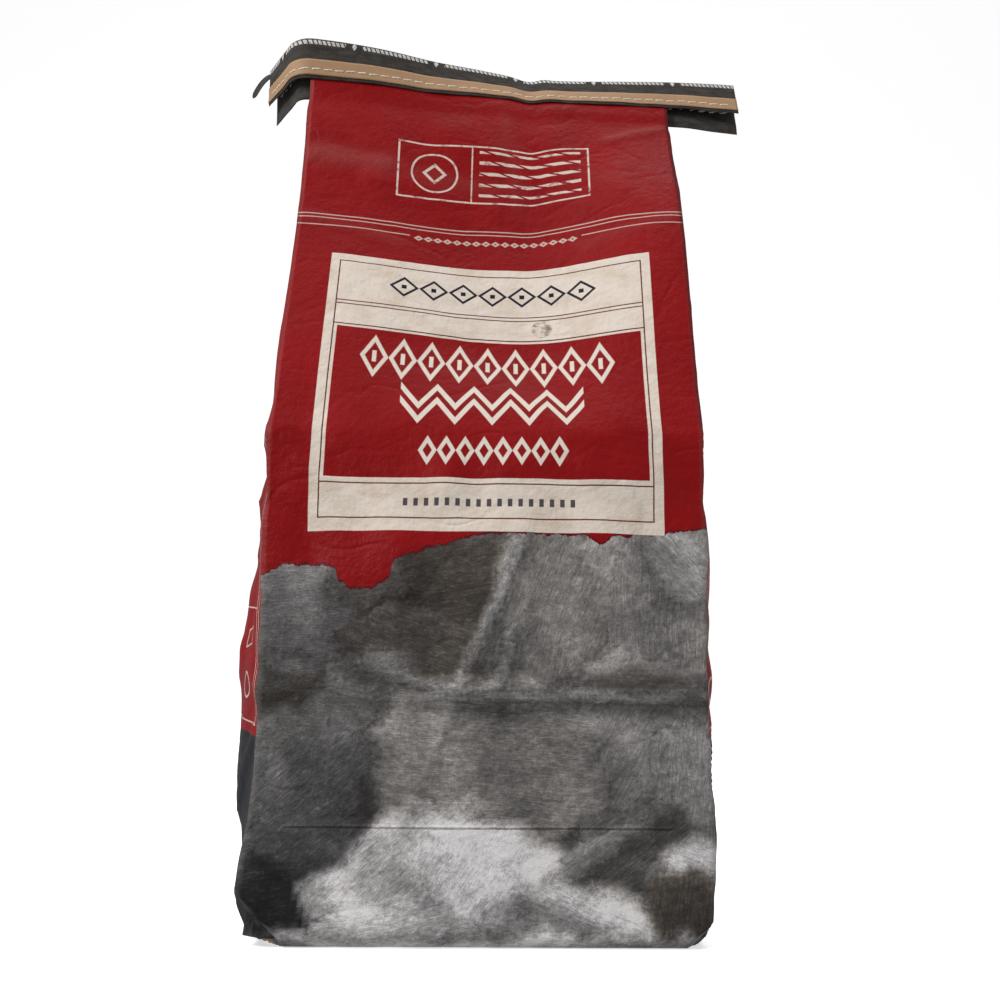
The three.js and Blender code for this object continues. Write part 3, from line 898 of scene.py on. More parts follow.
def tail_end_grid():
    """The tape's torn corner: a narrow ribbon that leaves its left end, curling down and out.

    It goes straight out and back, with one sine in depth and one in height, and its free end
    is rounded off as a circle.
    """
    start = closure_point(-TAIL_LEFT + 1.0, 0.0, tape_top() - 1.5)
    t = np.linspace(0, 1, 28)[:, None]
    across = np.linspace(-0.5, 0.5, 9)[None, :]
    tip = np.clip((t - 0.84) / 0.16, 0, 1)
    rounded = CORNER_WIDTH * across * np.sqrt(np.clip(1 - tip ** 2, 0.02, 1))
    x = start[0] - 16 * t - 0.6 * rounded
    y = start[1] + 9 * t - 3.0 * np.sin(2.4 * t) + 0.45 * rounded
    z = start[2] - 3 - 15 * t ** 1.2 + 2.0 * np.sin(np.pi * t) + 0.66 * rounded
    points = np.stack(np.broadcast_arrays(x, y, z), -1)
    return points, CORNER_LENGTH * t + 0 * across, rounded + 0 * t


def strip_grid():
    """The pull strip, which follows the front flange.

    It is cupped as a parabola, and drawn in along the stitches as a Gaussian.
    """
    distance = tape_distances()
    width = sizes().strip_width / MM
    across = np.linspace(0, 1, STRIP_POINTS)[None, :]
    z = strip_foot() + width * across
    sewn = np.exp(-((across - STITCH_PLACE) / 0.16) ** 2)
    proud = 0.45 + 0.2 * (2 * across - 1) ** 2 - 0.1 * sewn
    offset = front_sway(distance, tape_top() - z) - (SEAM_HALF + TAPE_OUT) - proud
    points = closure_point(distance, offset, z)
    return points, distance + 0 * across, across * width + 0 * distance


def thread_tube(line, radius):
    """A twisted two-strand thread carried along a line of points.

    Each section is a circle pressed into two lobes, and the lobes turn as the line goes on.
    Both ends are drawn together to a point.
    """
    ahead = np.gradient(line, axis=0)
    ahead /= np.linalg.norm(ahead, axis=1, keepdims=True)
    side = np.cross(ahead, [0, 0, 1.0])
    side /= np.linalg.norm(side, axis=1, keepdims=True)
    over = np.cross(side, ahead)
    theta = np.linspace(0, 2 * np.pi, THREAD_SIDES, endpoint=False)[None, :]
    steps = np.linalg.norm(np.diff(line, axis=0), axis=1)
    length = np.concatenate([[0], np.cumsum(steps)])[:, None]
    twist = THREAD_LOBES * theta - THREAD_TWIST * length / radius
    reach = radius * (1 + THREAD_PRESS * np.cos(twist))
    section = line[:, None] + (reach * np.cos(theta))[..., None] * side[:, None] \
        + (reach * np.sin(theta))[..., None] * over[:, None]
    ends = [np.repeat(line[end, None, None], THREAD_SIDES, 1) for end in (0, -1)]
    return np.concatenate([ends[0], section, ends[1]])[:, ::-1]


def stitch_range():
    """Where the seam starts, its length and its number of stitches."""
    start = THREAD_END - TAIL_LEFT
    length = 2 * half_width() + TAIL_RIGHT - THREAD_END - start
    return start, length, round(length / (sizes().stitch / MM))


def stitch_height():
    return strip_foot() + STITCH_PLACE * sizes().strip_width / MM


def needle_line():
    """The front thread, with each stitch on the strip at its own slant.

    Between stitches it dips under the strip, as a high power of a cosine.
    """
    start, length, count = stitch_range()
    t = np.linspace(0, count, count * NEEDLE_STEPS + 1)
    dip = np.abs(np.cos(np.pi * t)) ** 14
    drift = np.random.default_rng(5).uniform(-0.3, 0.3, count + 2)
    stitch = np.floor(t).astype(int)
    slant = 0.5 * (t - stitch - 0.5) + drift[stitch]
    distance = start + length * t / count
    height = stitch_height() + slant * (1 - dip)
    offset = front_sway(distance, tape_top() - height) - (SEAM_HALF + TAPE_OUT) - 0.7 + 1.6 * dip
    return closure_point(distance, offset, height)


def looper_line():
    """The back thread: a chain whose line swings to and fro as it goes, one link a stitch."""
    start, length, count = stitch_range()
    t = np.linspace(0, count, count * LOOPER_STEPS + 1)
    swing = 0.42 * np.sin(2 * np.pi * t)
    distance = start + length * (t + swing) / count
    offset = SEAM_HALF + TAPE_OUT + 0.6 + 0.35 * np.sin(4 * np.pi * t)
    height = stitch_height() + 1.2 * np.sin(4 * np.pi * t + 0.6)
    return closure_point(distance, offset, height)


# ---- the print ------------------------------------------------------------------------------

# Upper edge of the printed charcoal across the front: (x, height up the paper), millimetres
TORN_EDGE = [
    (-127, 196), (-115, 203), (-91, 203), (-84, 201), (-82, 194), (-74, 189), (-63, 190),
    (-53, 195), (-51, 206), (-28, 214), (0, 222), (56, 222), (66, 216), (73, 221), (94, 223),
    (127, 227),
]
TORN_LOW, TORN_HIGH = 180, 240
GUSSET_EDGE = 108
BASE_CREASE = 62
BASE_CREASE_END = 104
GLUE_LINE = (-96, 96, -36, 36)
GLUE_COLOUR = (0.10, 0.06, 0.035)
BROWN_FILTER = (1.0, 0.86, 0.72)
STAIN = (0.50, 0.36, 0.22)
SPOT = (0.16, 0.09, 0.05)
GUSSET_DARK = (0.008, 0.010, 0.016)
RUBBED = (0.62, 0.52, 0.48)
CREPE_DUST = (0.085, 0.078, 0.072)
CREPE_MARK = (0.72, 0.70, 0.67)
LABEL = (-102, 103, 223, 423)
LUMP_POWER = 2.6
# An entry whose half height is under the first number is a painted highlight line along a crease;
# it follows the print's wobble only by the second number's share.
CREASE_LIGHT_HEIGHT = 5
CREASE_LIGHT_WANDER = 0.2

# Printed lumps, back to front, among them thin light lines and one dark band that are painted
# highlights and painted shade along the paper's creases. Each is (x, v), half width, half height,
# tilt in degrees, tone, grain angle in degrees, warmth. Tone is 0 for charcoal and 1 for ash;
# warmth is 1 for brown.
PRINT_LUMPS_AND_CREASE_LIGHT = [
    ((96, 180), (46, 60), 4, 0.21, 90, 0.25),
    ((-92, 172), (44, 34), -4, 0.12, 2, 0.10),
    ((-22, 186), (50, 34), 8, 0.045, 12, 0.95),
    ((-66, 196), (20, 14), 8, 0.08, 6, 0.60),
    ((-30, 152), (46, 26), -24, 0.055, -20, 0.80),
    ((112, 205), (26, 17), -48, 0.26, -46, 0.10),
    ((35, 176), (33, 56), -15, 0.18, 70, 0.35),
    ((30, 150), (20, 26), -12, 0.13, 76, 0.30),
    ((-66, 128), (30, 24), 30, 0.11, 24, 0.25),
    ((88, 104), (44, 50), 10, 0.22, 58, 0.20),
    ((4, 100), (66, 40), -3, 0.22, -4, 0.30),
    ((-92, 112), (38, 24), 6, 0.11, -6, 0.15),
    ((-98, 84), (38, 28), 18, 0.075, 40, 0.05),
    ((114, 76), (20, 46), 4, 0.20, 84, 0.15),
    ((86, 54), (32, 24), 30, 0.07, 40, 0.30),
    ((-98, 46), (34, 26), 32, 0.05, 34, 0.00),
    ((-46, 30), (62, 28), 38, 0.42, 42, 0.10),
    ((-30, 10), (84, 15), 2, 0.50, 12, 0.05),
    ((3, 39), (36, 23), -16, 0.80, 60, 0.00),
    ((62, 48), (30, 8), 34, 0.16, 34, 0.15),
    ((48, 18), (30, 11), -18, 0.34, -24, 0.05),
    ((24, 8), (34, 5), -3, 0.16, 4, 0.10),
    ((80, 14), (26, 9), -16, 0.72, -24, 0.00),
    ((114, 40), (16, 15), 0, 0.55, -20, 0.00),
    ((111, 24), (18, 17), 6, 0.06, 84, 0.90),
    ((-118, 14), (30, 26), 40, 0.012, 10, 0.00),
    ((-10, -2), (96, 6), 0, 0.55, 4, 0.10),
    # Thin light lines with half heights under five millimetres are painted highlights along the
    # paper's creases; the dark band at (89, 140) is painted shade in a fold.
    ((8, 184), (42, 3.2), 68, 0.22, 68, 0.10),
    ((14, 149), (16, 3.0), 74, 0.20, 74, 0.10),
    ((89, 140), (38, 6), 0, 0.06, 0, 0.40),
    ((89, 130), (36, 3.4), 1, 0.18, 0, 0.10),
    ((-110, 136), (18, 6), 6, 0.03, 10, 0.80),
    ((-38, 139), (32, 3.0), -15, 0.15, -15, 0.10),
    ((20, 131), (34, 2.8), 0, 0.18, 0, 0.10),
]


def lumps_and_crease_light(x, v):
    """Paints the printed lumps over each other: tone, warmth, grain angle, distance to an edge.

    A lump is a blunt oval on turned coordinates with a wavy outline. It is lighter along its
    upper rim, and darkens what lies just below it. The thin lines and the dark band among the
    lumps are painted highlights and painted shade along the paper's creases, laid in the same way.
    """
    shift = facets(x, v, 17, 71), facets(x, v, 17, 72)
    chips = facets(x, v, 7, 73), facets(x, v, 7, 74)
    plane = facets(x + 4 * shift[1], v * 0.7, 21, 75)
    moved_x, moved_v = 5 * shift[0] + 1.5 * chips[0], 5 * shift[1] + 1.5 * chips[1]
    tone = np.full(x.shape, 0.07)
    warmth = np.full(x.shape, 0.3)
    angle = 0.5 * np.sin(x / 31) + 0.4 * np.sin(v / 23)
    edge = 4 + 4 * np.sin(x / 9 + 2 * np.sin(v / 13)) * np.sin(v / 8)
    for number, lump in enumerate(PRINT_LUMPS_AND_CREASE_LIGHT):
        (at_x, at_v), (wide, tall), tilt, own, grain, warm = lump
        cos, sin = math.cos(math.radians(tilt)), math.sin(math.radians(tilt))
        # Thin entries are painted highlights along creases, and follow the wobble less.
        loose = CREASE_LIGHT_WANDER if tall < CREASE_LIGHT_HEIGHT else 1.0
        dx, dv = x + loose * moved_x - at_x, v + loose * moved_v - at_v
        a = (dx * cos + dv * sin) / wide
        b = (dv * cos - dx * sin) / tall
        turn = np.arctan2(b, a)
        wave = 0.07 * np.sin(3 * turn + number) + 0.05 * np.sin(7 * turn + 2.3 * number)
        oval = (np.abs(a) ** LUMP_POWER + np.abs(b) ** LUMP_POWER) ** (1 / LUMP_POWER)
        reach = (1 + wave - oval) * min(wide, tall)
        soft = 2.4 + 7 * own
        inside = ease(-soft, soft, reach)
        tone *= 1 - 0.5 * ease(-12, 0, reach) * ease(-0.1, 0.7, -b)
        rim = ease(9, 0, reach) * ease(-0.1, 0.6, b)
        tone += (own * (0.86 + 0.26 * b + 0.3 * rim) - tone) * inside
        warmth += (warm - warmth) * inside
        angle = np.where(reach > 0, math.radians(grain), angle)
        edge = np.where(reach > 0, reach, np.minimum(edge, -reach))
    return tone * (1 + 0.35 * plane), warmth, angle, np.clip(edge, 0, 20)


def charcoal_print_and_crease_light(r, x, v):
    """Colour of the printed heap of charcoal, with painted highlights and shade along its creases,
    from the tones kept on the paper's points.
    """
    tone, warmth, angle, edge = (r.painted(name) for name in LUMP_AND_CREASE_LIGHT_ATTRIBUTES)
    cos, sin = angle.math("COSINE"), angle.math("SINE")
    along, across = x * cos + v * sin, v * cos - x * sin
    grain = r.cloud(along / 19, across / 1.7, angle, 6.0, 0.74, 0.6)
    fine = r.cloud(along / 5, across / 0.6, angle, 3.0, 0.7)
    mottle = r.cloud(x / 2.6, v / 2.6, 0.0, 6.0, 0.8)
    patch = r.cloud(x / 26, v / 16, 3.0, 6.0, 0.72, 1.0)
    cut = (edge + mottle * 5.0 - 2.8).falls(0.4, 1.6)
    cloud = r.cloud(x / 8, v / 6, 5.0, 5.0, 0.7, 0.6)
    canvas = r.cloud(x / 0.45, v / 0.45, 7.0, 2.0, 0.6)
    burnt = 1 - tone.least(0.85)
    dark = (1 - cut * burnt * 0.5) * ((grain - 0.5) * burnt * 1.7 + 1.05)
    dark = dark * (patch * 1.2 + 0.45) * (cloud * 1.7 + 0.2)
    tone = tone * dark * (fine * 1.8 + 0.15) * (mottle * 1.8 + 0.15) * (canvas * 1.6 + 0.25)
    scratch = (grain * fine).rises(0.32, 0.12) * mottle.rises(0.5, 0.2) * cloud.rises(0.55, 0.2)
    tone = tone.most(0.0) * 1.12 + scratch * patch * 0.22
    c = colours()
    grey = r.mix(c.charcoal, c.ash, tone.math("ADD", 0.0, clamp=True))
    return r.tint(grey, BROWN_FILTER, warmth.rises(0.5, 1.0))


def row_place(x, at_x, pitch, count):
    """Place across the nearest of `count` marks, a pitch apart, in a row about at_x."""
    return (x - at_x + (pitch / 2 if count % 2 == 0 else 0)).repeat(pitch)


def lozenges(x, v, centre, pitch, tall, stroke, count):
    """A row of outlined lozenges side by side, `count` of them about x = the centre's x."""
    at_x, at_v = centre
    local = row_place(x, at_x, pitch, count)
    reach = abs(local) / (pitch / 2) + abs(v - at_v) / (tall / 2)
    thin = 2 * stroke * math.hypot(pitch, tall) / (pitch * tall)
    return reach.within(1 - thin, 1.0, 0.07) * x.near(at_x, pitch * count / 2)


def bars(x, v, centre, pitch, tall, stroke, count):
    """A row of short upright bars, `count` of them about x = the centre's x."""
    at_x, at_v = centre
    local = row_place(x, at_x, pitch, count)
    return local.near(0, stroke / 2) * v.near(at_v, tall / 2) * x.near(at_x, pitch * count / 2)


def zigzag(x, v, centre, pitch, tall, stroke, count):
    """A zigzag line, `count` waves long: a triangle wave with an even stroke."""
    at_x, at_v = centre
    wave = abs(row_place(x, at_x, pitch, count)) * (2 * tall / pitch) - tall / 2
    steep = math.hypot(1, 2 * tall / pitch)
    return abs(v - at_v - wave).falls(stroke * steep / 2, 0.5) * x.near(at_x, pitch * count / 2)


# Rows of marks: kind, centre, pitch, height, stroke and number of each row
LABEL_INK = [
    (lozenges, (2.5, 401), 19, 17, 1.7, 7),
    (bars, (2.5, 401), 19, 3.2, 3.2, 7),
]
LABEL_FOOT = [(bars, (2.0, 240.5), 6.0, 4.6, 2.6, 17)]
LABEL_TITLE = [
    (lozenges, (0, 341.5), 17.4, 34, 2.6, 9),
    (bars, (0, 341.5), 17.4, 9, 2.6, 9),
    (zigzag, (3, 312), 22, 16, 3.2, 5),
    (zigzag, (3, 301), 22, 16, 3.2, 5),
    (lozenges, (4, 272.5), 11, 19, 2.4, 8),
]


def marks(x, v, rows):
    """Rows of marks laid over each other."""
    drawn = [kind(x, v, *row) for kind, *row in rows]
    return functools.reduce(Value.most, drawn)


def ring(x, v, centre, radius, stroke):
    """A circle's outline."""
    dx, dv = x - centre[0], v - centre[1]
    return abs((dx * dx + dv * dv).math("SQRT") - radius).falls(stroke / 2, 0.35)


def box_outline(x, v, box, stroke):
    """The outline of a rectangle given as left, right, low, high."""
    left, right, low, high = box
    outer = x.within(left, right) * v.within(low, high)
    inner = x.within(left + stroke, right - stroke) * v.within(low + stroke, high - stroke)
    return outer - inner


def label_print(r, x, v, paint):
    """The framed label: cream bands and fine lines round a red field with plain ornament."""
    c = colours()
    left, right, low, high = LABEL
    mask = x.within(left, right) * v.within(low, high)
    field = x.within(left + 8.2, right - 8.2) * v.within(255, 362.8)
    inside = x.within(left + 5.5, right - 5.5)
    lines = box_outline(x, v, (left + 5.5, right - 5.5, low + 7.5, high - 5.5), 0.8)
    rules = v.near(384, 0.4).most(v.near(381.2, 0.4)).most(v.near(364.9, 0.45))
    rules = rules.most(v.near(251.6, 0.4))
    ink = marks(x, v, LABEL_INK).most(marks(x, v, LABEL_FOOT) * 0.9)
    title = marks(x, v, LABEL_TITLE)
    stain = r.cloud(x / 24, v / 15, 2.0, 5.0, 0.7).rises(0.6, 0.3)
    smudge = r.cloud(x / 5, v / 4, 9.0, 4.0, 0.7).rises(0.52, 0.2)
    spot = ring(x, v, (34, 374), 0.1, 13) * smudge
    cream = r.mix(c.cream, STAIN, stain * 0.5)
    cream = r.mix(cream, SPOT, spot * 0.8)
    label = r.mix(cream, paint, field)
    label = r.mix(label, c.outline, (rules * inside).most(lines))
    label = r.mix(label, c.ink, ink)
    label = r.mix(label, c.cream, title * field)
    return r.mix(paint, label, mask)


def upper_print(r, x, v, paint):
    """Fine lines, a small pattern between them and a framed panel above the label."""
    pair = v.near(456, 0.45).most(v.near(453, 0.4))
    short = v.near(447, 0.4) * abs(x - 4).rises(57, 0.4)
    small = lozenges(x, v, (4, 445.5), 6.4, 4.6, 1.3, 17)
    frame_box = box_outline(x, v, (-64, 68, 479, 525), 1.3)
    split = x.near(-13, 0.5) * v.within(479, 525)
    sign = ring(x, v, (-38.5, 501), 15.5, 1.4)
    sign = sign.most(lozenges(x, v, (-38.5, 501), 17, 17, 2.0, 1))
    row = (v - 503).repeat(8.6).near(0, 1.3, 0.5) * v.within(485, 521)
    gaps = (x + v * 2.7).repeat(17).near(0, 6.6, 0.6)
    rows = row * gaps * x.within(-8, 62)
    rub = r.cloud(x / 9, v / 6, 4.0, 4.0, 0.7).falls(0.60, 0.16)
    panel = frame_box.most(split).most(sign).most(rows) * rub
    lines = pair.most(short).most(small)
    return r.mix(paint, colours().cream, (panel * 0.85).most(lines * 0.62))


def gusset_print(r, x, v, paint, charcoal):
    """The gussets: red further down, a thin double border, two small shapes, dark below."""
    c = colours()
    into = abs(x) - half_width()
    foot = v - into * 0.16
    border = into.near(2.6, 0.3).most(into.near(5.6, 0.3)) * foot.rises(GUSSET_EDGE + 6, 0.4)
    border = border.most(foot.near(GUSSET_EDGE + 6, 0.4) * into.rises(2.3, 0.4))
    border = border.most(foot.near(GUSSET_EDGE + 70, 0.4) * into.rises(5.6, 0.4))
    shapes = ring(into, v, (26, 138), 7, 1.4).most(box_outline(into, v, (18, 36, 160, 171), 1.0))
    red = r.mix(paint, c.cream, border.most(shapes) * 0.75)
    below = r.mix(charcoal, GUSSET_DARK, 0.90)
    return r.mix(below, red, foot.rises(GUSSET_EDGE, 0.8)), into.rises(0, 0.5)


def printed_paper():
    """Satin printed paper: red above, charcoal below, label and lines, rubbed at its folds."""
    c = colours()
    r = Recipe("printed_paper")
    across, v = r.paper_place()
    x = across.repeat(perimeter() / 2)
    drift = r.cloud(x / 60, v / 60, 1.0, 3.0, 0.55)
    grit = r.cloud(x / 0.8, v / 0.8, 0.0, 2.0, 0.6)
    red = r.shade(c.red, drift * 0.5 + grit * 0.24 + 0.63)
    low, high = TORN_LOW, TORN_HIGH
    places = [((px + half_width()) / (2 * half_width()), (pv - low) / (high - low))
              for px, pv in TORN_EDGE]
    curve = r.curve((x + half_width()) / (2 * half_width()), places)
    ragged = r.cloud(x / 5, v / 5, 6.0, 5.0, 0.72) * 9.0 - 4.5
    above = v - (curve * (high - low) + low) + ragged
    # The charcoal print carries painted highlights and painted shade along the paper's creases.
    charcoal = charcoal_print_and_crease_light(r, x, v)
    front = r.mix(charcoal, red, above.rises(0, 0.5))
    front = r.mix(front, c.outline, above.within(-0.2, 1.1, 0.5))
    front = upper_print(r, x, v, front)
    front = label_print(r, x, v, front)
    sides, on_gusset = gusset_print(r, x, v, red, charcoal)
    paint = r.mix(front, sides, on_gusset)
    base = v.falls(-9, 3.0)
    kraft = r.shade(c.kraft, drift * 0.6 + grit * 0.3 + 0.5)
    under_x, under_y = r.axes(r.object_place(), 2)
    glued = box_outline(under_x / MM, under_y / MM, GLUE_LINE, 1.2)
    kraft = r.mix(kraft, GLUE_COLOUR, glued * 0.8)
    paint = r.mix(paint, kraft, base)
    worn = r.painted(WEAR)
    scuff = r.cloud(x / 1.6, v / 1.6, 5.0, 4.0, 0.75)
    rubbed = (worn * (scuff * 2.2 - 0.35)).math("MULTIPLY", 0.2, clamp=True)
    specks = r.cloud(x / 3.0, v / 3.0, 8.0, 3.0, 0.8).rises(0.80, 0.04)
    paint = r.mix(paint, RUBBED, rubbed.most(specks * 0.6))
    creased = abs(r.cloud(x / 52, v / 40, 4.0, 2.0, 0.4, 0.4) - 0.5)
    fine = r.cloud(x / 4.5, v / 4.5, 2.0, 4.0, 0.6)
    normal = r.bump(creased.least(0.05), 0.006)
    normal = r.bump(fine, 0.0008, normal)
    folded = v.near(BASE_CREASE, 0.5, 1.4) * abs(x).falls(BASE_CREASE_END, 6)
    normal = r.bump(folded, 0.0011, normal)
    normal = r.bump(grit, 0.00012, normal)
    rough = drift * 0.22 + rubbed * 0.4 + 0.36
    return r.finish(Base_Color=paint, Roughness=rough, Normal=normal, Specular_IOR_Level=0.12)


def bare_paper(name, colour, streaks, rough):
    """Uncoated brown paper: long fibres, slow stains and a soft surface."""
    r = Recipe(name)
    x, v = r.paper_place()
    fibres = r.cloud(x / streaks, v / 0.5, 0.0, 4.0, 0.6)
    slow = r.cloud(x / 26, v / 9, 2.0, 3.0, 0.55)
    paint = r.shade(colour, fibres * 0.42 + slow * 0.42 + 0.60)
    normal = r.bump(fibres, 0.00012)
    return r.finish(Base_Color=paint, Roughness=slow * 0.15 + rough, Normal=normal)


def crepe_paper():
    """Dark crepe tape: fine ribs across it, dusty patches and pale dashes along the fold."""
    c = colours()
    r = Recipe("crepe_paper")
    x, v = r.paper_place()
    ribs = r.cloud(x / 0.75, v / 9, 0.0, 3.0, 0.65, 0.3)
    dust = r.cloud(x / 12, v / 4, 5.0, 5.0, 0.7)
    paint = r.shade(c.crepe, ribs * 1.4 + 0.3)
    paint = r.mix(paint, CREPE_DUST, dust.rises(0.55, 0.35) * 0.8)
    local = x.repeat(58)
    dashes = local.near(0, 23, 0.4) * (x + v * 0.4).repeat(3.1).near(0, 1.05, 0.4)
    mark = dashes * v.within(-6.6, -3.6, 0.5)
    tip = (abs(abs(local) - 29) / 1.7 + abs(v + 5.1) / 3.0).falls(1.0, 0.25)
    chipped = r.cloud(x / 0.8, v / 0.8, 3.0, 3.0, 0.7).rises(0.42, 0.1)
    paint = r.mix(paint, CREPE_MARK, mark.most(tip) * chipped)
    normal = r.bump(ribs, 0.00045)
    return r.finish(Base_Color=paint, Roughness=0.82, Normal=normal, Specular_IOR_Level=0.3)


def cotton_thread():
    """Undyed cotton: a fine mottle of fibres with soft shading."""
    r = Recipe("cotton_thread")
    place = r.object_place()
    fibres = r.noise(place, 2600.0, 3.0, 0.7)
    slow = r.noise(place, 70.0, 2.0, 0.5)
    paint = r.shade(colours().cotton, fibres * 0.5 + slow * 0.3 + 0.58)
    return r.finish(Base_Color=paint, Roughness=0.9, Normal=r.bump(fibres, 0.0001))


def lump_charcoal():
    """Charcoal: black with grey ash on its grain, cracked across, matt with a few glints."""
    c = colours()
    r = Recipe("lump_charcoal")
    place = r.object_place()
    x, y, z = r.axes(place, 3)
    grain = r.cloud(x * 60, y * 420, z * 420, 5.0, 0.7, 0.5)
    split = r.cracks(r.vector(x * 90, y * 40, z * 40))
    ash = r.noise(place, 46.0, 4.0, 0.6).rises(0.56, 0.2) * grain
    paint = r.mix(r.shade(c.charcoal, grain * 1.5 + 0.4), c.ash, ash * 0.22)
    normal = r.bump(split.least(0.06), 0.010)
    normal = r.bump(grain, 0.0016, normal)
    return r.finish(Base_Color=paint, Roughness=0.92 - ash * 0.1, Normal=normal)


def stage_paint():
    """Matt pale paint, the same all over."""
    r = Recipe("stage_paint")
    slow = r.noise(r.object_place(), 0.4, 1.0, 0.5)
    paint = r.shade(colours().stage, slow * 0.02 + 0.99)
    return r.finish(Base_Color=paint, Roughness=0.9, Emission_Color=paint, Emission_Strength=0.62)


# ---- operators ------------------------------------------------------------------------------


class SACK_OT_outer_ply(bpy.types.Operator):
    """Builds the printed outer ply."""

    bl_idname = "sack.outer_ply"
    bl_label = "Outer ply"

    def execute(self, context):
        points, p, v, wear = dressed_sack()
        # The tones carry the print and the painted highlights and shade along the creases.
        values = dict(zip(LUMP_AND_CREASE_LIGHT_ATTRIBUTES, lumps_and_crease_light(front_place(p), v)))
        values[WEAR] = wear
        paper = grid_object("outer_paper", points, printed_paper(),
                            wrap=True, uv=paper_uv(p, v), values=values)
        thicken(paper, sizes().paper)
        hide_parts("outer_ply")
        return {"FINISHED"}


class SACK_OT_inner_ply(bpy.types.Operator):
    """Builds the brown inner ply just inside the outer one."""

    bl_idname = "sack.inner_ply"
    bl_label = "Inner ply"

    def execute(self, context):
        points, p, v, _ = dressed_sack()
        material = bare_paper("kraft_paper", colours().kraft, 5.0, 0.8)
        liner = grid_object("inner_paper", liner_points(points, p, v), material,
                            wrap=True, uv=paper_uv(p, v))
        thicken(liner, 0.5 * sizes().paper)
        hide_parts("inner_ply")
        return {"FINISHED"}


class SACK_OT_tape(bpy.types.Operator):
    """Builds the folded crepe tape and its curled end."""

    bl_idname = "sack.tape"
    bl_label = "Binding tape"

    def execute(self, context):
        points, along, around = tape_grid()
        crepe = crepe_paper()
        tape = grid_object("crepe_tape", points, crepe,
                           uv=np.stack([along, around], -1))
        thicken(tape, TAPE_THICKNESS)
        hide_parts("binding_tape")
        points, along, across = tail_end_grid()
        corner = grid_object("tape_corner", points, crepe,
                             uv=np.stack([along, across + 14], -1))
        thicken(corner, TAPE_THICKNESS)
        return {"FINISHED"}


class SACK_OT_strip(bpy.types.Operator):
    """Builds the tan pull strip."""

    bl_idname = "sack.strip"
    bl_label = "Pull strip"

    def execute(self, context):
        points, along, across = strip_grid()
        material = bare_paper("tan_paper", colours().tan, 9.0, 0.62)
        strip = grid_object("tear_strip", points, material,
                            uv=np.stack([along, across], -1))
        thicken(strip, STRIP_THICKNESS)
        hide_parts("pull_strip")
        return {"FINISHED"}


class SACK_OT_threads(bpy.types.Operator):
    """Builds the front stitches and the chain behind."""

    bl_idname = "sack.threads"
    bl_label = "Threads"

    def execute(self, context):
        cotton = cotton_thread()
        radius = sizes().thread / MM
        for name, line, node in (("front_stitches", needle_line(), "needle_thread"),
                                 ("back_chain", looper_line(), "looper_thread")):
            tube = thread_tube(line, radius)
            thread = grid_object(name, tube, cotton, wrap=True)
            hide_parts(node)
        return {"FINISHED"}


class SACK_OT_lumps(bpy.types.Operator):
    """Gives the charcoal lumps inside the sack their finish."""

    bl_idname = "sack.lumps"
    bl_label = "Charcoal lumps"

    def execute(self, context):
        lumps = [node for name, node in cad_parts.items() if name.startswith(LUMP_NODES)]
        if not lumps:
            raise RuntimeError("The frame has no charcoal lumps")
        material = lump_charcoal()
        for node in lumps:
            node.data.materials.clear()
            node.data.materials.append(material)
        return {"FINISHED"}


# The camera: its place in metres, rise, turn to the right and roll, lens and sensor
CAMERA_PLACE = (-0.009, -0.679, 0.097)
CAMERA_RISE = math.radians(13.3)
CAMERA_TURN = math.radians(1.8)
CAMERA_ROLL = math.radians(0.54)
CAMERA_LENS = 39.6
CAMERA_SENSOR = 36.0
CAMERA_CLIP = (0.01, 50)

# Area lights: place and size in metres, power in watts and share of glints; all face AIM
LIGHTS = [
    ("key", (-1.7, -1.25, 1.6), 0.75, 42, 1.0),
    ("fill", (1.6, -1.4, 0.7), 1.6, 4, 1.0),
    ("top", (0.1, 0.0, 2.2), 1.2, 8, 0.3),
    ("back", (0.5, 1.9, 1.3), 1.6, 26, 0.3),
]
AIM = (0, 0, 0.3)
WORLD_STRENGTH = 0.36
WHITE = (1, 1, 1, 1)

# The backdrop, in millimetres: floor's front, foot of the sweep, its radius, top, half width
FLOOR_FRONT = -3500.0
SWEEP_START = 1800
SWEEP_RADIUS = 1200.0
WALL_TOP = 4500.0
FLOOR_HALF = 4500.0
FLOOR_DROP = 0.05


def backdrop_grid():
    """A floor that sweeps up into a wall: flat, a quarter circle, then upright."""
    turn = np.linspace(0, np.pi / 2, 16)
    sweep = SWEEP_START + SWEEP_RADIUS * np.sin(turn)
    y = np.concatenate([[FLOOR_FRONT], sweep, [SWEEP_START + SWEEP_RADIUS]])
    z = np.concatenate([[0.0], SWEEP_RADIUS * (1 - np.cos(turn)), [WALL_TOP]]) - FLOOR_DROP
    x = np.linspace(-FLOOR_HALF, FLOOR_HALF, 9)[None, :]
    return np.stack(np.broadcast_arrays(x, y[:, None], z[:, None]), -1)


def add_lights(scene):
    """Adds the area lights and an even white world."""
    for name, place, size, power, glints in LIGHTS:
        light = bpy.data.lights.new(name, "AREA")
        light.size = size
        light.energy = power
        light.specular_factor = glints
        lamp = bpy.data.objects.new(name, light)
        lamp.location = place
        facing = Vector(AIM) - Vector(place)
        lamp.rotation_euler = facing.to_track_quat("-Z", "Y").to_euler()
        scene.collection.objects.link(lamp)
    world = bpy.data.worlds.new("studio")
    world.use_nodes = True
    background = world.node_tree.nodes["Background"]
    background.inputs["Color"].default_value = WHITE
    background.inputs["Strength"].default_value = WORLD_STRENGTH
    scene.world = world


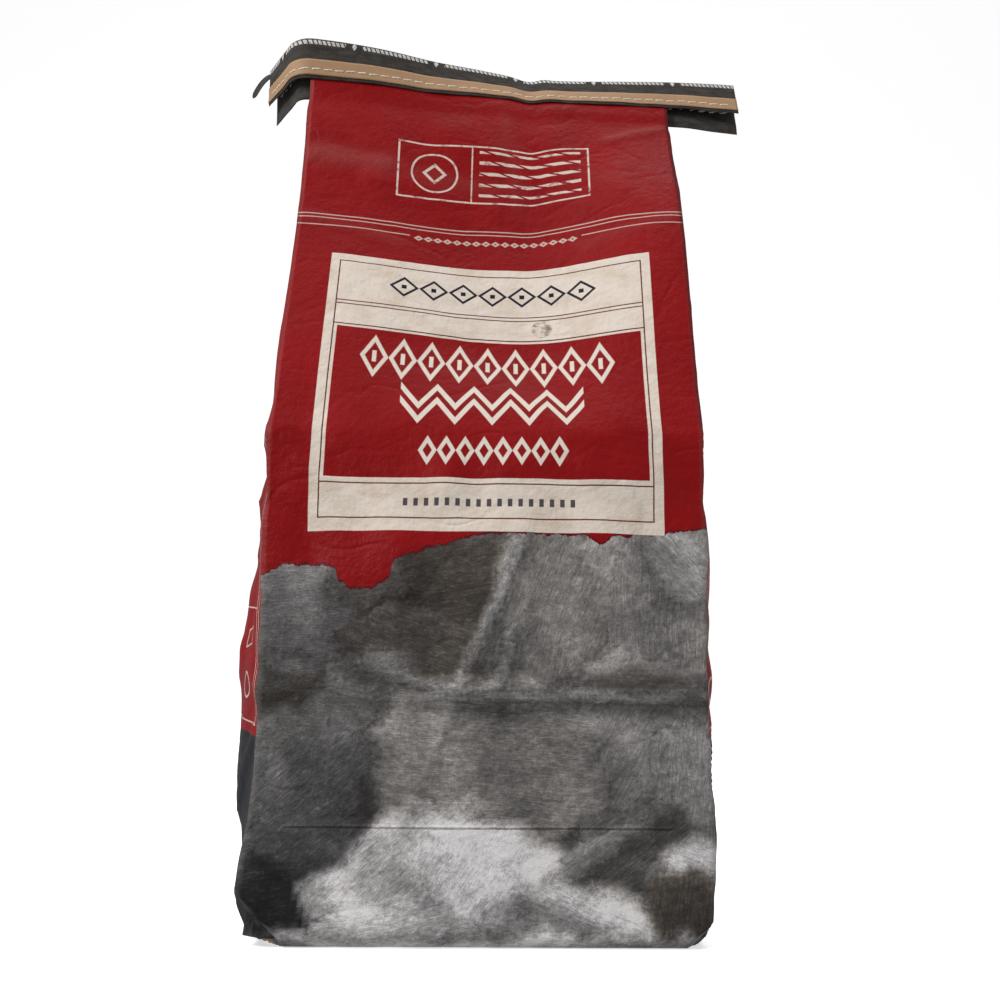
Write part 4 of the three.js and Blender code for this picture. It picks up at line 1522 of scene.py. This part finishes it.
def add_camera(scene):
    """Adds the camera: raised from level, turned about the vertical, then rolled."""
    camera = bpy.data.cameras.new("camera")
    camera.lens = CAMERA_LENS
    camera.sensor_width = CAMERA_SENSOR
    camera.clip_start, camera.clip_end = CAMERA_CLIP
    eye = bpy.data.objects.new("camera", camera)
    turn = Matrix.Rotation(-CAMERA_TURN, 4, "Z")
    rise = Matrix.Rotation(math.pi / 2 + CAMERA_RISE, 4, "X")
    roll = Matrix.Rotation(CAMERA_ROLL, 4, "Z")
    eye.matrix_world = Matrix.Translation(CAMERA_PLACE) @ turn @ rise @ roll
    scene.collection.objects.link(eye)
    scene.camera = eye


class SACK_OT_stage(bpy.types.Operator):
    """Builds the floor and backdrop, the lights and the camera."""

    bl_idname = "sack.stage"
    bl_label = "Stage"

    def execute(self, context):
        scene = context.scene
        mesh = grid_mesh("backdrop", backdrop_grid())
        mesh.shade_smooth()
        mesh.materials.append(stage_paint())
        backdrop = bpy.data.objects.new("backdrop", mesh)
        scene.collection.objects.link(backdrop)
        backdrop.visible_diffuse = backdrop.visible_glossy = False
        add_lights(scene)
        add_camera(scene)
        scene.view_settings.view_transform = "Standard"
        return {"FINISHED"}


OPERATORS = (
    SACK_OT_stage,
    SACK_OT_outer_ply,
    SACK_OT_inner_ply,
    SACK_OT_tape,
    SACK_OT_strip,
    SACK_OT_threads,
    SACK_OT_lumps,
)


class SACK_PT_panel(bpy.types.Panel):
    """Lists the pieces of the sack."""

    bl_idname = "SACK_PT_panel"
    bl_label = "Charcoal Sack"
    bl_space_type = "VIEW_3D"
    bl_region_type = "UI"
    bl_category = "Charcoal Sack"

    def draw(self, context):
        for operator in OPERATORS:
            self.layout.operator(operator.bl_idname)
        for group in (context.scene.sack_sizes, context.scene.sack_colours):
            for key in group.bl_rna.properties.keys():
                if key not in ("name", "rna_type"):
                    self.layout.prop(group, key)


CLASSES = (SackSizes, SackColours, *OPERATORS, SACK_PT_panel)


def register():
    for cls in CLASSES:
        bpy.utils.register_class(cls)
    bpy.types.Scene.sack_sizes = bpy.props.PointerProperty(type=SackSizes)
    bpy.types.Scene.sack_colours = bpy.props.PointerProperty(type=SackColours)


def unregister():
    del bpy.types.Scene.sack_colours
    del bpy.types.Scene.sack_sizes
    for cls in reversed(CLASSES):
        bpy.utils.unregister_class(cls)


def main():
    """Builds every piece in order."""
    register()
    for operator in OPERATORS:
        group, action = operator.bl_idname.split(".")
        getattr(getattr(bpy.ops, group), action)()


if __name__ == "__main__":
    main()
